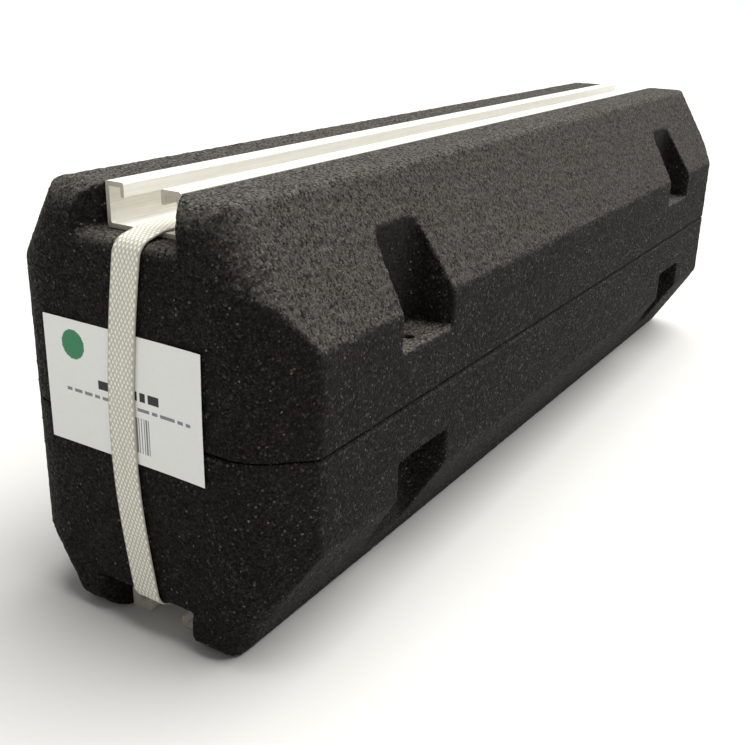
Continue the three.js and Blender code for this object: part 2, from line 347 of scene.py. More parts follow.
        seam_distance = nodes.new("ShaderNodeMath")
        seam_distance.label = "Distance from the seam"
        seam_distance.location = (-520, -1760)
        seam_distance.parent = dust_and_sheen_frame
        seam_distance.operation = "ABSOLUTE"
        links.new(from_seam.outputs["Value"], seam_distance.inputs[0])

        painted_seam_shade = nodes.new("ShaderNodeMapRange")
        painted_seam_shade.label = "Painted shade down in the seam"
        painted_seam_shade.location = (-300, -1760)
        painted_seam_shade.parent = dust_and_sheen_frame
        painted_seam_shade.inputs["From Min"].default_value = 1.0 * MM
        painted_seam_shade.inputs["From Max"].default_value = 1.8 * MM
        links.new(seam_distance.outputs["Value"], painted_seam_shade.inputs["Value"])

        kept_dust_and_sheen = nodes.new("ShaderNodeMath")
        kept_dust_and_sheen.label = "Dust and painted sheen that stayed"
        kept_dust_and_sheen.location = (-300, -1320)
        kept_dust_and_sheen.parent = dust_and_sheen_frame
        kept_dust_and_sheen.operation = "MULTIPLY"
        links.new(upward_dust_and_sheen.outputs["Result"], kept_dust_and_sheen.inputs[0])
        links.new(painted_seam_shade.outputs["Result"], kept_dust_and_sheen.inputs[1])

        sifted_dust_and_sheen = nodes.new("ShaderNodeMath")
        sifted_dust_and_sheen.label = "Less dust and painted sheen on dark granules"
        sifted_dust_and_sheen.location = (-300, -1500)
        sifted_dust_and_sheen.parent = dust_and_sheen_frame
        sifted_dust_and_sheen.operation = "MULTIPLY"
        links.new(kept_dust_and_sheen.outputs["Value"], sifted_dust_and_sheen.inputs[0])
        links.new(chance.outputs["Blue"], sifted_dust_and_sheen.inputs[1])

        # Mixes the dust and the painted sheen into the granules' colour.
        dust_and_sheen_mixed = nodes.new("ShaderNodeMix")
        dust_and_sheen_mixed.label = "Granules with dust and painted sheen"
        dust_and_sheen_mixed.location = (-80, 160)
        dust_and_sheen_mixed.parent = dust_and_sheen_frame
        dust_and_sheen_mixed.data_type = "RGBA"
        dust_and_sheen_mixed.inputs["B"].default_value = self.dust
        links.new(sifted_dust_and_sheen.outputs["Value"], dust_and_sheen_mixed.inputs["Factor"])
        links.new(tinted.outputs["Result"], dust_and_sheen_mixed.inputs["A"])

        offset = nodes.new("ShaderNodeVectorMath")
        offset.label = "Place in the granule"
        offset.location = (-1180, -480)
        offset.parent = facet_frame
        offset.operation = "SUBTRACT"
        links.new(place.outputs["Object"], offset.inputs[0])
        links.new(granules.outputs["Position"], offset.inputs[1])

        lean = nodes.new("ShaderNodeVectorMath")
        lean.label = "Random lean of the granule"
        lean.location = (-1180, -660)
        lean.parent = facet_frame
        lean.operation = "SUBTRACT"
        lean.inputs[1].default_value = (0.5, 0.5, 0.5)
        links.new(granules.outputs["Color"], lean.inputs[0])

        facet = nodes.new("ShaderNodeVectorMath")
        facet.label = "Height of the leaning facet"
        facet.location = (-960, -560)
        facet.parent = facet_frame
        facet.operation = "DOT_PRODUCT"
        links.new(offset.outputs["Vector"], facet.inputs[0])
        links.new(lean.outputs["Vector"], facet.inputs[1])

        in_granules = nodes.new("ShaderNodeMath")
        in_granules.label = "Measured in granules"
        in_granules.location = (-740, -560)
        in_granules.parent = facet_frame
        in_granules.operation = "MULTIPLY"
        in_granules.inputs[1].default_value = 2.2 / self.granule
        links.new(facet.outputs["Value"], in_granules.inputs[0])

        dome = nodes.new("ShaderNodeMath")
        dome.label = "Round shoulders of a granule"
        dome.location = (-740, -380)
        dome.parent = facet_frame
        dome.operation = "POWER"
        dome.inputs[1].default_value = 2.0
        links.new(granules.outputs["Distance"], dome.inputs[0])

        relief = nodes.new("ShaderNodeMath")
        relief.label = "Facet less its round shoulders"
        relief.location = (-520, -460)
        relief.parent = facet_frame
        relief.operation = "SUBTRACT"
        links.new(in_granules.outputs["Value"], relief.inputs[0])
        links.new(dome.outputs["Value"], relief.inputs[1])

        grain = nodes.new("ShaderNodeBump")
        grain.label = "Granule relief"
        grain.location = (-300, -400)
        grain.parent = facet_frame
        grain.inputs["Strength"].default_value = 0.9
        grain.inputs["Distance"].default_value = 0.45 * self.granule
        links.new(relief.outputs["Value"], grain.inputs["Height"])

        crumbs = nodes.new("ShaderNodeTexNoise")
        crumbs.label = "Torn crumb edges"
        crumbs.location = (-520, -700)
        crumbs.parent = facet_frame
        crumbs.inputs["Scale"].default_value = 2.4 / self.granule
        crumbs.inputs["Detail"].default_value = 3.0
        links.new(place.outputs["Object"], crumbs.inputs["Vector"])

        tooth = nodes.new("ShaderNodeBump")
        tooth.label = "Fine tooth on each granule"
        tooth.location = (-80, -480)
        tooth.parent = facet_frame
        tooth.inputs["Strength"].default_value = 0.5
        tooth.inputs["Distance"].default_value = 0.12 * self.granule
        links.new(crumbs.outputs["Fac"], tooth.inputs["Height"])
        links.new(grain.outputs["Normal"], tooth.inputs["Normal"])

        cut_share = nodes.new("ShaderNodeMapRange")
        cut_share.label = "Share of freshly cut granules"
        cut_share.location = (-960, -900)
        cut_share.parent = gloss_frame
        cut_share.inputs["From Min"].default_value = 0.90
        cut_share.inputs["From Max"].default_value = 1.0
        cut_share.inputs["To Max"].default_value = 0.5
        links.new(chance.outputs["Green"], cut_share.inputs["Value"])

        matt = nodes.new("ShaderNodeMapRange")
        matt.label = "Matt to half-gloss granules"
        matt.location = (-960, -1160)
        matt.parent = gloss_frame
        matt.inputs["To Min"].default_value = 0.95
        matt.inputs["To Max"].default_value = 0.62
        links.new(chance.outputs["Blue"], matt.inputs["Value"])

        rubber = nodes.new("ShaderNodeBsdfPrincipled")
        rubber.label = "Bonded rubber"
        rubber.location = (220, 100)
        rubber.inputs["Specular IOR Level"].default_value = 0.12
        rubber.inputs["Coat Roughness"].default_value = 0.2
        links.new(dust_and_sheen_mixed.outputs["Result"], rubber.inputs["Base Color"])
        links.new(matt.outputs["Result"], rubber.inputs["Roughness"])
        links.new(cut_share.outputs["Result"], rubber.inputs["Coat Weight"])
        links.new(tooth.outputs["Normal"], rubber.inputs["Normal"])
        links.new(tooth.outputs["Normal"], rubber.inputs["Coat Normal"])

        output = nodes.new("ShaderNodeOutputMaterial")
        output.label = "Rubber surface"
        output.location = (520, 100)
        links.new(rubber.outputs["BSDF"], output.inputs["Surface"])
        return material


@dataclass(frozen=True)
class LooseCrumb:
    """Single rubber crumbs that stick out of the skin, black but for a few pale ones that are
    partly painted glints.

    Attributes:
        black: Colour of most crumbs.
        pale: Colour of the few pale ones, partly pale crumb and partly painted glints.
    """

    black: Colour = (0.011, 0.0105, 0.0095, 1)
    pale: Colour = (0.16, 0.15, 0.13, 1)

    def material(self) -> bpy.types.Material:
        """Build the node tree of the loose crumbs.

        Returns:
            The finished material.
        """
        material = bpy.data.materials.new("loose_crumb")
        material.use_nodes = True
        nodes = material.node_tree.nodes
        links = material.node_tree.links
        nodes.clear()

        tone_frame = nodes.new("NodeFrame")
        tone_frame.label = "Tone from crumb to crumb"

        place = nodes.new("ShaderNodeTexCoord")
        place.label = "Place in the block"
        place.location = (-900, 0)

        batches = nodes.new("ShaderNodeTexNoise")
        batches.label = "Mixed batches of crumb"
        batches.location = (-680, 60)
        batches.parent = tone_frame
        batches.inputs["Scale"].default_value = 320.0
        batches.inputs["Detail"].default_value = 2.0
        links.new(place.outputs["Object"], batches.inputs["Vector"])

        # A few batches of crumb take the pale colour: partly pale rubber, partly painted glints.
        tones = nodes.new("ShaderNodeValToRGB")
        tones.label = "Black to pale crumb"
        tones.location = (-460, 60)
        tones.parent = tone_frame
        tones.color_ramp.elements[0].position = 0.63
        tones.color_ramp.elements[0].color = self.black
        tones.color_ramp.elements[1].position = 0.70
        tones.color_ramp.elements[1].color = self.pale
        links.new(batches.outputs["Fac"], tones.inputs["Fac"])

        crumb = nodes.new("ShaderNodeBsdfPrincipled")
        crumb.label = "Rubber crumb"
        crumb.location = (-160, 60)
        crumb.inputs["Roughness"].default_value = 0.5
        crumb.inputs["Specular IOR Level"].default_value = 0.3
        links.new(tones.outputs["Color"], crumb.inputs["Base Color"])

        output = nodes.new("ShaderNodeOutputMaterial")
        output.label = "Crumb surface"
        output.location = (140, 60)
        links.new(crumb.outputs["BSDF"], output.inputs["Surface"])
        return material


@dataclass(frozen=True)
class MetalFinish:
    """Bare or plated metal, with lines drawn along X, soft stains, and painted shade on its ends.

    Attributes:
        name: Name of the material.
        clean: Colour of clean metal.
        stained: Colour where it is stained.
        sawn_end_shade: Colour of its ends, square to X, darker as painted shade.
        roughness: Roughness of clean metal.
        metallic: How bare the metal is, from 0 for a thick oxide skin to 1.
        line_width: Width of one drawn line.
        line_relief: Depth of the lines.
    """

    name: str
    clean: Colour
    stained: Colour
    sawn_end_shade: Colour
    roughness: float
    metallic: float
    line_width: float
    line_relief: float

    def material(self) -> bpy.types.Material:
        """Build the node tree of the metal.

        Returns:
            The finished material.
        """
        material = bpy.data.materials.new(self.name)
        material.use_nodes = True
        nodes = material.node_tree.nodes
        links = material.node_tree.links
        nodes.clear()

        line_frame = nodes.new("NodeFrame")
        line_frame.label = "Lines left along the metal"
        stain_frame = nodes.new("NodeFrame")
        stain_frame.label = "Stains and handling marks"
        end_shade_frame = nodes.new("NodeFrame")
        end_shade_frame.label = "Painted shade on the ends"

        place = nodes.new("ShaderNodeTexCoord")
        place.label = "Place on the metal"
        place.location = (-1300, 0)

        stretch = nodes.new("ShaderNodeMapping")
        stretch.label = "Drawn out along X"
        stretch.location = (-1080, 240)
        stretch.parent = line_frame
        stretch.inputs["Scale"].default_value = (0.012, 1.0, 1.0)
        links.new(place.outputs["Object"], stretch.inputs["Vector"])

        lines = nodes.new("ShaderNodeTexNoise")
        lines.label = "Die lines"
        lines.location = (-860, 240)
        lines.parent = line_frame
        lines.inputs["Scale"].default_value = 1 / self.line_width
        lines.inputs["Detail"].default_value = 3.0
        lines.inputs["Roughness"].default_value = 0.55
        links.new(stretch.outputs["Vector"], lines.inputs["Vector"])

        stains = nodes.new("ShaderNodeTexNoise")
        stains.label = "Soft stains"
        stains.location = (-860, -80)
        stains.parent = stain_frame
        stains.inputs["Scale"].default_value = 60.0
        stains.inputs["Detail"].default_value = 6.0
        stains.inputs["Roughness"].default_value = 0.62
        links.new(place.outputs["Object"], stains.inputs["Vector"])

        stain_share = nodes.new("ShaderNodeMapRange")
        stain_share.label = "Where stains show"
        stain_share.location = (-640, -80)
        stain_share.parent = stain_frame
        stain_share.inputs["From Min"].default_value = 0.48
        stain_share.inputs["From Max"].default_value = 0.74
        links.new(stains.outputs["Fac"], stain_share.inputs["Value"])

        blotched = nodes.new("ShaderNodeMix")
        blotched.label = "Clean to stained"
        blotched.location = (-400, 60)
        blotched.parent = stain_frame
        blotched.data_type = "RGBA"
        blotched.inputs["A"].default_value = self.clean
        blotched.inputs["B"].default_value = self.stained
        links.new(stain_share.outputs["Result"], blotched.inputs["Factor"])

        line_shade = nodes.new("ShaderNodeMapRange")
        line_shade.label = "Shade of the lines"
        line_shade.location = (-640, 420)
        line_shade.parent = line_frame
        line_shade.inputs["From Min"].default_value = 0.3
        line_shade.inputs["From Max"].default_value = 0.7
        line_shade.inputs["To Min"].default_value = 0.88
        line_shade.inputs["To Max"].default_value = 1.0
        links.new(lines.outputs["Fac"], line_shade.inputs["Value"])

        lined = nodes.new("ShaderNodeMix")
        lined.label = "Metal with its lines"
        lined.location = (-160, 200)
        lined.parent = line_frame
        lined.data_type = "RGBA"
        lined.blend_type = "MULTIPLY"
        lined.inputs["Factor"].default_value = 1.0
        links.new(blotched.outputs["Result"], lined.inputs["A"])
        links.new(line_shade.outputs["Result"], lined.inputs["B"])

        facing = nodes.new("ShaderNodeNewGeometry")
        facing.label = "Way that the metal faces"
        facing.location = (-860, -420)
        facing.parent = end_shade_frame

        endways = nodes.new("ShaderNodeSeparateXYZ")
        endways.label = "How far it faces an end"
        endways.location = (-640, -420)
        endways.parent = end_shade_frame
        links.new(facing.outputs["True Normal"], endways.inputs["Vector"])

        either_end = nodes.new("ShaderNodeMath")
        either_end.label = "Either end"
        either_end.location = (-400, -420)
        either_end.parent = end_shade_frame
        either_end.operation = "ABSOLUTE"
        links.new(endways.outputs["X"], either_end.inputs[0])

        # Painted shade: faces square to X take a darker colour than the drawn sides.
        sawn_end_shade = nodes.new("ShaderNodeMapRange")
        sawn_end_shade.label = "Only square to the length"
        sawn_end_shade.location = (-160, -420)
        sawn_end_shade.parent = end_shade_frame
        sawn_end_shade.inputs["From Min"].default_value = 0.97
        sawn_end_shade.inputs["From Max"].default_value = 0.99
        links.new(either_end.outputs["Value"], sawn_end_shade.inputs["Value"])

        ended = nodes.new("ShaderNodeMix")
        ended.label = "Drawn sides, shaded ends"
        ended.location = (40, 240)
        ended.parent = end_shade_frame
        ended.data_type = "RGBA"
        ended.inputs["B"].default_value = self.sawn_end_shade
        links.new(sawn_end_shade.outputs["Result"], ended.inputs["Factor"])
        links.new(lined.outputs["Result"], ended.inputs["A"])

        dulled = nodes.new("ShaderNodeMapRange")
        dulled.label = "Duller where stained"
        dulled.location = (-400, -240)
        dulled.parent = stain_frame
        dulled.inputs["To Min"].default_value = self.roughness
        dulled.inputs["To Max"].default_value = self.roughness + 0.22
        links.new(stain_share.outputs["Result"], dulled.inputs["Value"])

        grooves = nodes.new("ShaderNodeBump")
        grooves.label = "Relief of the lines"
        grooves.location = (-160, -60)
        grooves.parent = line_frame
        grooves.inputs["Strength"].default_value = 0.6
        grooves.inputs["Distance"].default_value = self.line_relief
        links.new(lines.outputs["Fac"], grooves.inputs["Height"])

        metal = nodes.new("ShaderNodeBsdfPrincipled")
        metal.label = "Metal"
        metal.location = (280, 100)
        metal.inputs["Metallic"].default_value = self.metallic
        links.new(ended.outputs["Result"], metal.inputs["Base Color"])
        links.new(dulled.outputs["Result"], metal.inputs["Roughness"])
        links.new(grooves.outputs["Normal"], metal.inputs["Normal"])

        output = nodes.new("ShaderNodeOutputMaterial")
        output.label = "Metal surface"
        output.location = (580, 100)
        links.new(metal.outputs["BSDF"], output.inputs["Surface"])
        return material


ALUMINIUM = MetalFinish(
    name="rail_aluminium",
    clean=(0.93, 0.915, 0.86, 1),
    stained=(0.88, 0.86, 0.79, 1),
    sawn_end_shade=(0.46, 0.43, 0.36, 1),
    roughness=0.42,
    metallic=0.2,
    line_width=0.9 * MM,
    line_relief=0.03 * MM,
)
ZINC = MetalFinish(
    name="screw_steel",
    clean=(0.62, 0.63, 0.65, 1),
    stained=(0.50, 0.49, 0.44, 1),
    sawn_end_shade=(0.60, 0.61, 0.62, 1),
    roughness=0.38,
    metallic=1.0,
    line_width=0.3 * MM,
    line_relief=0.01 * MM,
)


@dataclass(frozen=True)
class StrapPlastic:
    """Cream polypropylene strapping, with painted shade in its embossed hollows.

    Attributes:
        clean: Colour of the raised lattice.
        hollow_shade: Colour down in the hollows, darker as painted shade.
    """

    clean: Colour = (0.90, 0.885, 0.80, 1)
    hollow_shade: Colour = (0.46, 0.45, 0.37, 1)

    def material(self) -> bpy.types.Material:
        """Build the node tree of the strapping.

        Returns:
            The finished material.
        """
        material = bpy.data.materials.new("strap_plastic")
        material.use_nodes = True
        nodes = material.node_tree.nodes
        links = material.node_tree.links
        nodes.clear()

        hollow_shade_frame = nodes.new("NodeFrame")
        hollow_shade_frame.label = "Painted shade in the embossed hollows"
        draw_frame = nodes.new("NodeFrame")
        draw_frame.label = "Streaks drawn along the band"

        raised = nodes.new("ShaderNodeAttribute")
        raised.label = "Raised lattice"
        raised.location = (-900, 220)
        raised.parent = hollow_shade_frame
        raised.attribute_name = EMBOSS_ATTRIBUTE

        along = nodes.new("ShaderNodeUVMap")
        along.label = "Across and along the band"
        along.location = (-1300, -80)
        along.parent = draw_frame
        along.uv_map = BAND_UV

        stretch = nodes.new("ShaderNodeMapping")
        stretch.label = "Drawn out along the band"
        stretch.location = (-1100, -80)
        stretch.parent = draw_frame
        stretch.inputs["Scale"].default_value = (1.0, 0.03, 1.0)
        links.new(along.outputs["UV"], stretch.inputs["Vector"])

        streaks = nodes.new("ShaderNodeTexNoise")
        streaks.label = "Fibrous streaks"
        streaks.location = (-900, -80)
        streaks.parent = draw_frame
        streaks.inputs["Scale"].default_value = 900.0
        streaks.inputs["Detail"].default_value = 4.0
        links.new(stretch.outputs["Vector"], streaks.inputs["Vector"])

        streak_shade = nodes.new("ShaderNodeMapRange")
        streak_shade.label = "Shade of the streaks"
        streak_shade.location = (-680, -80)
        streak_shade.parent = draw_frame
        streak_shade.inputs["From Min"].default_value = 0.3
        streak_shade.inputs["From Max"].default_value = 0.7
        streak_shade.inputs["To Min"].default_value = 0.9
        streak_shade.inputs["To Max"].default_value = 1.02
        links.new(streaks.outputs["Fac"], streak_shade.inputs["Value"])

        narrowed = nodes.new("ShaderNodeMapRange")
        narrowed.label = "Narrow hollows between wide diamonds"
        narrowed.location = (-900, 420)
        narrowed.parent = hollow_shade_frame
        narrowed.inputs["From Min"].default_value = 0.05
        narrowed.inputs["From Max"].default_value = 0.6
        links.new(raised.outputs["Fac"], narrowed.inputs["Value"])

        # Painted shade: the hollows between the raised diamonds take a darker colour than the
        # lattice.
        lattice = nodes.new("ShaderNodeMix")
        lattice.label = "Hollow to raised"
        lattice.location = (-680, 220)
        lattice.parent = hollow_shade_frame
        lattice.data_type = "RGBA"
        lattice.inputs["A"].default_value = self.hollow_shade
        lattice.inputs["B"].default_value = self.clean
        links.new(narrowed.outputs["Result"], lattice.inputs["Factor"])

        streaked = nodes.new("ShaderNodeMix")
        streaked.label = "Band with its streaks"
        streaked.location = (-420, 100)
        streaked.parent = draw_frame
        streaked.data_type = "RGBA"
        streaked.blend_type = "MULTIPLY"
        streaked.inputs["Factor"].default_value = 1.0
        links.new(lattice.outputs["Result"], streaked.inputs["A"])
        links.new(streak_shade.outputs["Result"], streaked.inputs["B"])

        worn = nodes.new("ShaderNodeMapRange")
        worn.label = "Polished on the raised lattice"
        worn.location = (-420, -180)
        worn.parent = hollow_shade_frame
        worn.inputs["To Min"].default_value = 0.58
        worn.inputs["To Max"].default_value = 0.4
        links.new(raised.outputs["Fac"], worn.inputs["Value"])

        fibres = nodes.new("ShaderNodeBump")
        fibres.label = "Relief of the streaks"
        fibres.location = (-420, -420)
        fibres.parent = draw_frame
        fibres.inputs["Strength"].default_value = 0.35
        fibres.inputs["Distance"].default_value = 0.05 * MM
        links.new(streaks.outputs["Fac"], fibres.inputs["Height"])

        plastic = nodes.new("ShaderNodeBsdfPrincipled")
        plastic.label = "Drawn polypropylene"
        plastic.location = (-120, 100)
        links.new(streaked.outputs["Result"], plastic.inputs["Base Color"])
        links.new(worn.outputs["Result"], plastic.inputs["Roughness"])
        links.new(fibres.outputs["Normal"], plastic.inputs["Normal"])

        output = nodes.new("ShaderNodeOutputMaterial")
        output.label = "Strap surface"
        output.location = (180, 100)
        links.new(plastic.outputs["BSDF"], output.inputs["Surface"])
        return material


@dataclass(frozen=True)
class PrintedPaper:
    """White label paper whose print is held in a colour attribute.

    Attributes:
        fibre: Size of the paper's mottling.
    """

    fibre: float = 1.6 * MM

    def material(self) -> bpy.types.Material:
        """Build the node tree of the label.

        Returns:
            The finished material.
        """
        material = bpy.data.materials.new("label_paper")
        material.use_nodes = True
        nodes = material.node_tree.nodes
        links = material.node_tree.links
        nodes.clear()

        print_frame = nodes.new("NodeFrame")
        print_frame.label = "Printed shapes"
        fibre_frame = nodes.new("NodeFrame")
        fibre_frame.label = "Paper fibres"

        place = nodes.new("ShaderNodeTexCoord")
        place.label = "Place on the label"
        place.location = (-1100, -80)

        ink = nodes.new("ShaderNodeAttribute")
        ink.label = "Ink laid on the paper"
        ink.location = (-680, 240)
        ink.parent = print_frame
        ink.attribute_name = INK_ATTRIBUTE

        fibres = nodes.new("ShaderNodeTexNoise")
        fibres.label = "Mottled fibres"
        fibres.location = (-900, -80)
        fibres.parent = fibre_frame
        fibres.inputs["Scale"].default_value = 1 / self.fibre
        fibres.inputs["Detail"].default_value = 6.0
        fibres.inputs["Roughness"].default_value = 0.7
        links.new(place.outputs["Object"], fibres.inputs["Vector"])

        mottle = nodes.new("ShaderNodeMapRange")
        mottle.label = "Shade of the fibres"
        mottle.location = (-680, -20)
        mottle.parent = fibre_frame
        mottle.inputs["From Min"].default_value = 0.3
        mottle.inputs["From Max"].default_value = 0.7
        mottle.inputs["To Min"].default_value = 0.955
        mottle.inputs["To Max"].default_value = 1.0
        links.new(fibres.outputs["Fac"], mottle.inputs["Value"])

        printed = nodes.new("ShaderNodeMix")
        printed.label = "Print on mottled paper"
        printed.location = (-420, 140)
        printed.parent = print_frame
        printed.data_type = "RGBA"
        printed.blend_type = "MULTIPLY"
        printed.inputs["Factor"].default_value = 1.0
        links.new(ink.outputs["Color"], printed.inputs["A"])
        links.new(mottle.outputs["Result"], printed.inputs["B"])

        tooth = nodes.new("ShaderNodeBump")
        tooth.label = "Paper tooth"
        tooth.location = (-420, -160)
        tooth.parent = fibre_frame
        tooth.inputs["Strength"].default_value = 0.25
        tooth.inputs["Distance"].default_value = 0.05 * MM
        links.new(fibres.outputs["Fac"], tooth.inputs["Height"])

        paper = nodes.new("ShaderNodeBsdfPrincipled")
        paper.label = "Matt paper"
        paper.location = (-140, 100)
        paper.inputs["Roughness"].default_value = 0.72
        paper.inputs["Specular IOR Level"].default_value = 0.35
        links.new(printed.outputs["Result"], paper.inputs["Base Color"])
        links.new(tooth.outputs["Normal"], paper.inputs["Normal"])

        output = nodes.new("ShaderNodeOutputMaterial")
        output.label = "Label surface"
        output.location = (160, 100)
        links.new(paper.outputs["BSDF"], output.inputs["Surface"])
        return material


@dataclass(frozen=True)
class StudioFloor:
    """Pale floor with a barely visible cloudiness.

    Attributes:
        light: Colour of the lighter parts.
        shade: Colour of the darker parts.
    """

    light: Colour = (0.64, 0.64, 0.63, 1)
    shade: Colour = (0.61, 0.61, 0.60, 1)

    def material(self) -> bpy.types.Material:
        """Build the node tree of the floor.

        Returns:
            The finished material.
        """
        material = bpy.data.materials.new("studio_floor")
        material.use_nodes = True
        nodes = material.node_tree.nodes
        links = material.node_tree.links
        nodes.clear()

        cloud_frame = nodes.new("NodeFrame")
        cloud_frame.label = "Cloudiness"

        place = nodes.new("ShaderNodeTexCoord")
        place.label = "Place on the floor"
        place.location = (-800, 0)

        clouds = nodes.new("ShaderNodeTexNoise")
        clouds.label = "Soft clouds"
        clouds.location = (-600, 0)
        clouds.parent = cloud_frame
        clouds.inputs["Scale"].default_value = 1.5
        links.new(place.outputs["Object"], clouds.inputs["Vector"])

        tones = nodes.new("ShaderNodeMix")
        tones.label = "Lighter to darker"
        tones.location = (-380, 0)
        tones.parent = cloud_frame
        tones.data_type = "RGBA"
        tones.inputs["A"].default_value = self.light
        tones.inputs["B"].default_value = self.shade
        links.new(clouds.outputs["Fac"], tones.inputs["Factor"])

        surface = nodes.new("ShaderNodeBsdfDiffuse")
        surface.label = "Matt floor"
        surface.location = (-140, 0)
        links.new(tones.outputs["Result"], surface.inputs["Color"])

        output = nodes.new("ShaderNodeOutputMaterial")
        output.label = "Floor surface"
        output.location = (80, 0)
        links.new(surface.outputs["BSDF"], output.inputs["Surface"])
        return material


# ---- geometry node trees -----------------------------------------------------------------


def granulate_skin_tree() -> bpy.types.NodeTree:
    """Build the tree that gives a smooth block the uneven skin of pressed granulate.

    Relief fades out near the seam plane and inside the rail's slot, where the block is pressed
    flat against its neighbours.

    Returns:
        The geometry node tree, with one named input for each size.
    """
    tree = bpy.data.node_groups.new("granulate_skin", "GeometryNodeTree")
    tree.is_modifier = True
    sockets = tree.interface
    sockets.new_socket(name="Block", in_out="INPUT", socket_type="NodeSocketGeometry")
    for name in ("Lump Size", "Relief", "Seam Height", "Seam Margin", "Slot Half Width"):
        sockets.new_socket(name=name, in_out="INPUT", socket_type="NodeSocketFloat")
    sockets.new_socket(name="Rubber", in_out="INPUT", socket_type="NodeSocketMaterial")
    sockets.new_socket(name="Skin", in_out="OUTPUT", socket_type="NodeSocketGeometry")
    nodes = tree.nodes
    links = tree.links

    relief_frame = nodes.new("NodeFrame")
    relief_frame.label = "Lumps of granulate"
    mask_frame = nodes.new("NodeFrame")
    mask_frame.label = "Flat at the seam and in the slot"

    sizes = nodes.new("NodeGroupInput")
    sizes.label = "Block and sizes"
    sizes.location = (-1300, 0)

    place = nodes.new("GeometryNodeInputPosition")
    place.label = "Place on the block"
    place.location = (-1300, -360)

    fineness = nodes.new("ShaderNodeMath")
    fineness.label = "Lumps in a metre"
    fineness.location = (-1080, 300)
    fineness.parent = relief_frame
    fineness.operation = "DIVIDE"
    fineness.inputs[0].default_value = 1.0
    links.new(sizes.outputs["Lump Size"], fineness.inputs[1])

    lumps = nodes.new("ShaderNodeTexNoise")
    lumps.label = "Lumpy granulate"
    lumps.location = (-860, 300)
    lumps.parent = relief_frame
    lumps.inputs["Detail"].default_value = 2.0
    lumps.inputs["Roughness"].default_value = 0.65
    links.new(place.outputs["Position"], lumps.inputs["Vector"])
    links.new(fineness.outputs["Value"], lumps.inputs["Scale"])

    swing = nodes.new("ShaderNodeMapRange")
    swing.label = "Hollow to proud"
    swing.location = (-640, 300)
    swing.parent = relief_frame
    swing.inputs["From Min"].default_value = 0.3
    swing.inputs["From Max"].default_value = 0.7
    swing.inputs["To Min"].default_value = -1.0
    swing.inputs["To Max"].default_value = 0.6
    links.new(lumps.outputs["Fac"], swing.inputs["Value"])

    axes = nodes.new("ShaderNodeSeparateXYZ")
    axes.label = "Across and up"
    axes.location = (-1080, -360)
    axes.parent = mask_frame
    links.new(place.outputs["Position"], axes.inputs["Vector"])

    from_seam = nodes.new("ShaderNodeMath")
    from_seam.label = "Height from the seam"
    from_seam.location = (-860, -160)
    from_seam.parent = mask_frame
    from_seam.operation = "SUBTRACT"
    links.new(axes.outputs["Z"], from_seam.inputs[0])
    links.new(sizes.outputs["Seam Height"], from_seam.inputs[1])

    seam_distance = nodes.new("ShaderNodeMath")
    seam_distance.label = "Distance from the seam"
    seam_distance.location = (-640, -160)
    seam_distance.parent = mask_frame
    seam_distance.operation = "ABSOLUTE"
    links.new(from_seam.outputs["Value"], seam_distance.inputs[0])

    seam_fade = nodes.new("ShaderNodeMapRange")
    seam_fade.label = "Fades in above the seam"
    seam_fade.location = (-420, -160)
    seam_fade.parent = mask_frame
    links.new(seam_distance.outputs["Value"], seam_fade.inputs["Value"])
    links.new(sizes.outputs["Seam Margin"], seam_fade.inputs["From Max"])

    from_middle = nodes.new("ShaderNodeMath")
    from_middle.label = "Distance from the middle"
    from_middle.location = (-860, -420)
    from_middle.parent = mask_frame
    from_middle.operation = "ABSOLUTE"
    links.new(axes.outputs["Y"], from_middle.inputs[0])

    beside_slot = nodes.new("ShaderNodeMath")
    beside_slot.label = "Beside the slot"
    beside_slot.location = (-640, -420)
    beside_slot.parent = mask_frame
    beside_slot.operation = "GREATER_THAN"
    links.new(from_middle.outputs["Value"], beside_slot.inputs[0])
    links.new(sizes.outputs["Slot Half Width"], beside_slot.inputs[1])

    loose = nodes.new("ShaderNodeMath")
    loose.label = "Share of the relief"
    loose.location = (-200, -280)
    loose.parent = mask_frame
    loose.operation = "MULTIPLY"
    links.new(seam_fade.outputs["Result"], loose.inputs[0])
    links.new(beside_slot.outputs["Value"], loose.inputs[1])

    height = nodes.new("ShaderNodeMath")
    height.label = "Height of the relief"
    height.location = (-200, 200)
    height.parent = relief_frame
    height.operation = "MULTIPLY"
    links.new(swing.outputs["Result"], height.inputs[0])
    links.new(sizes.outputs["Relief"], height.inputs[1])

    masked = nodes.new("ShaderNodeMath")
    masked.label = "Relief where it is free"
    masked.location = (20, 60)
    masked.operation = "MULTIPLY"
    links.new(height.outputs["Value"], masked.inputs[0])
    links.new(loose.outputs["Value"], masked.inputs[1])

    outward = nodes.new("GeometryNodeInputNormal")
    outward.label = "Out of the surface"
    outward.location = (20, -140)

    shift = nodes.new("ShaderNodeVectorMath")
    shift.label = "Push out or in"
    shift.location = (240, 0)
    shift.operation = "SCALE"
    links.new(outward.outputs["Normal"], shift.inputs[0])
    links.new(masked.outputs["Value"], shift.inputs["Scale"])

    skin = nodes.new("GeometryNodeSetPosition")
    skin.label = "Uneven skin"
    skin.location = (460, 100)
    links.new(sizes.outputs["Block"], skin.inputs["Geometry"])
    links.new(shift.outputs["Vector"], skin.inputs["Offset"])

    smooth = nodes.new("GeometryNodeSetShadeSmooth")
    smooth.label = "Smooth between corners"
    smooth.location = (660, 100)
    links.new(skin.outputs["Geometry"], smooth.inputs["Geometry"])

    plain = nodes.new("GeometryNodeRealizeInstances")
    plain.label = "Plain mesh"
    plain.location = (860, 100)
    links.new(smooth.outputs["Geometry"], plain.inputs["Geometry"])

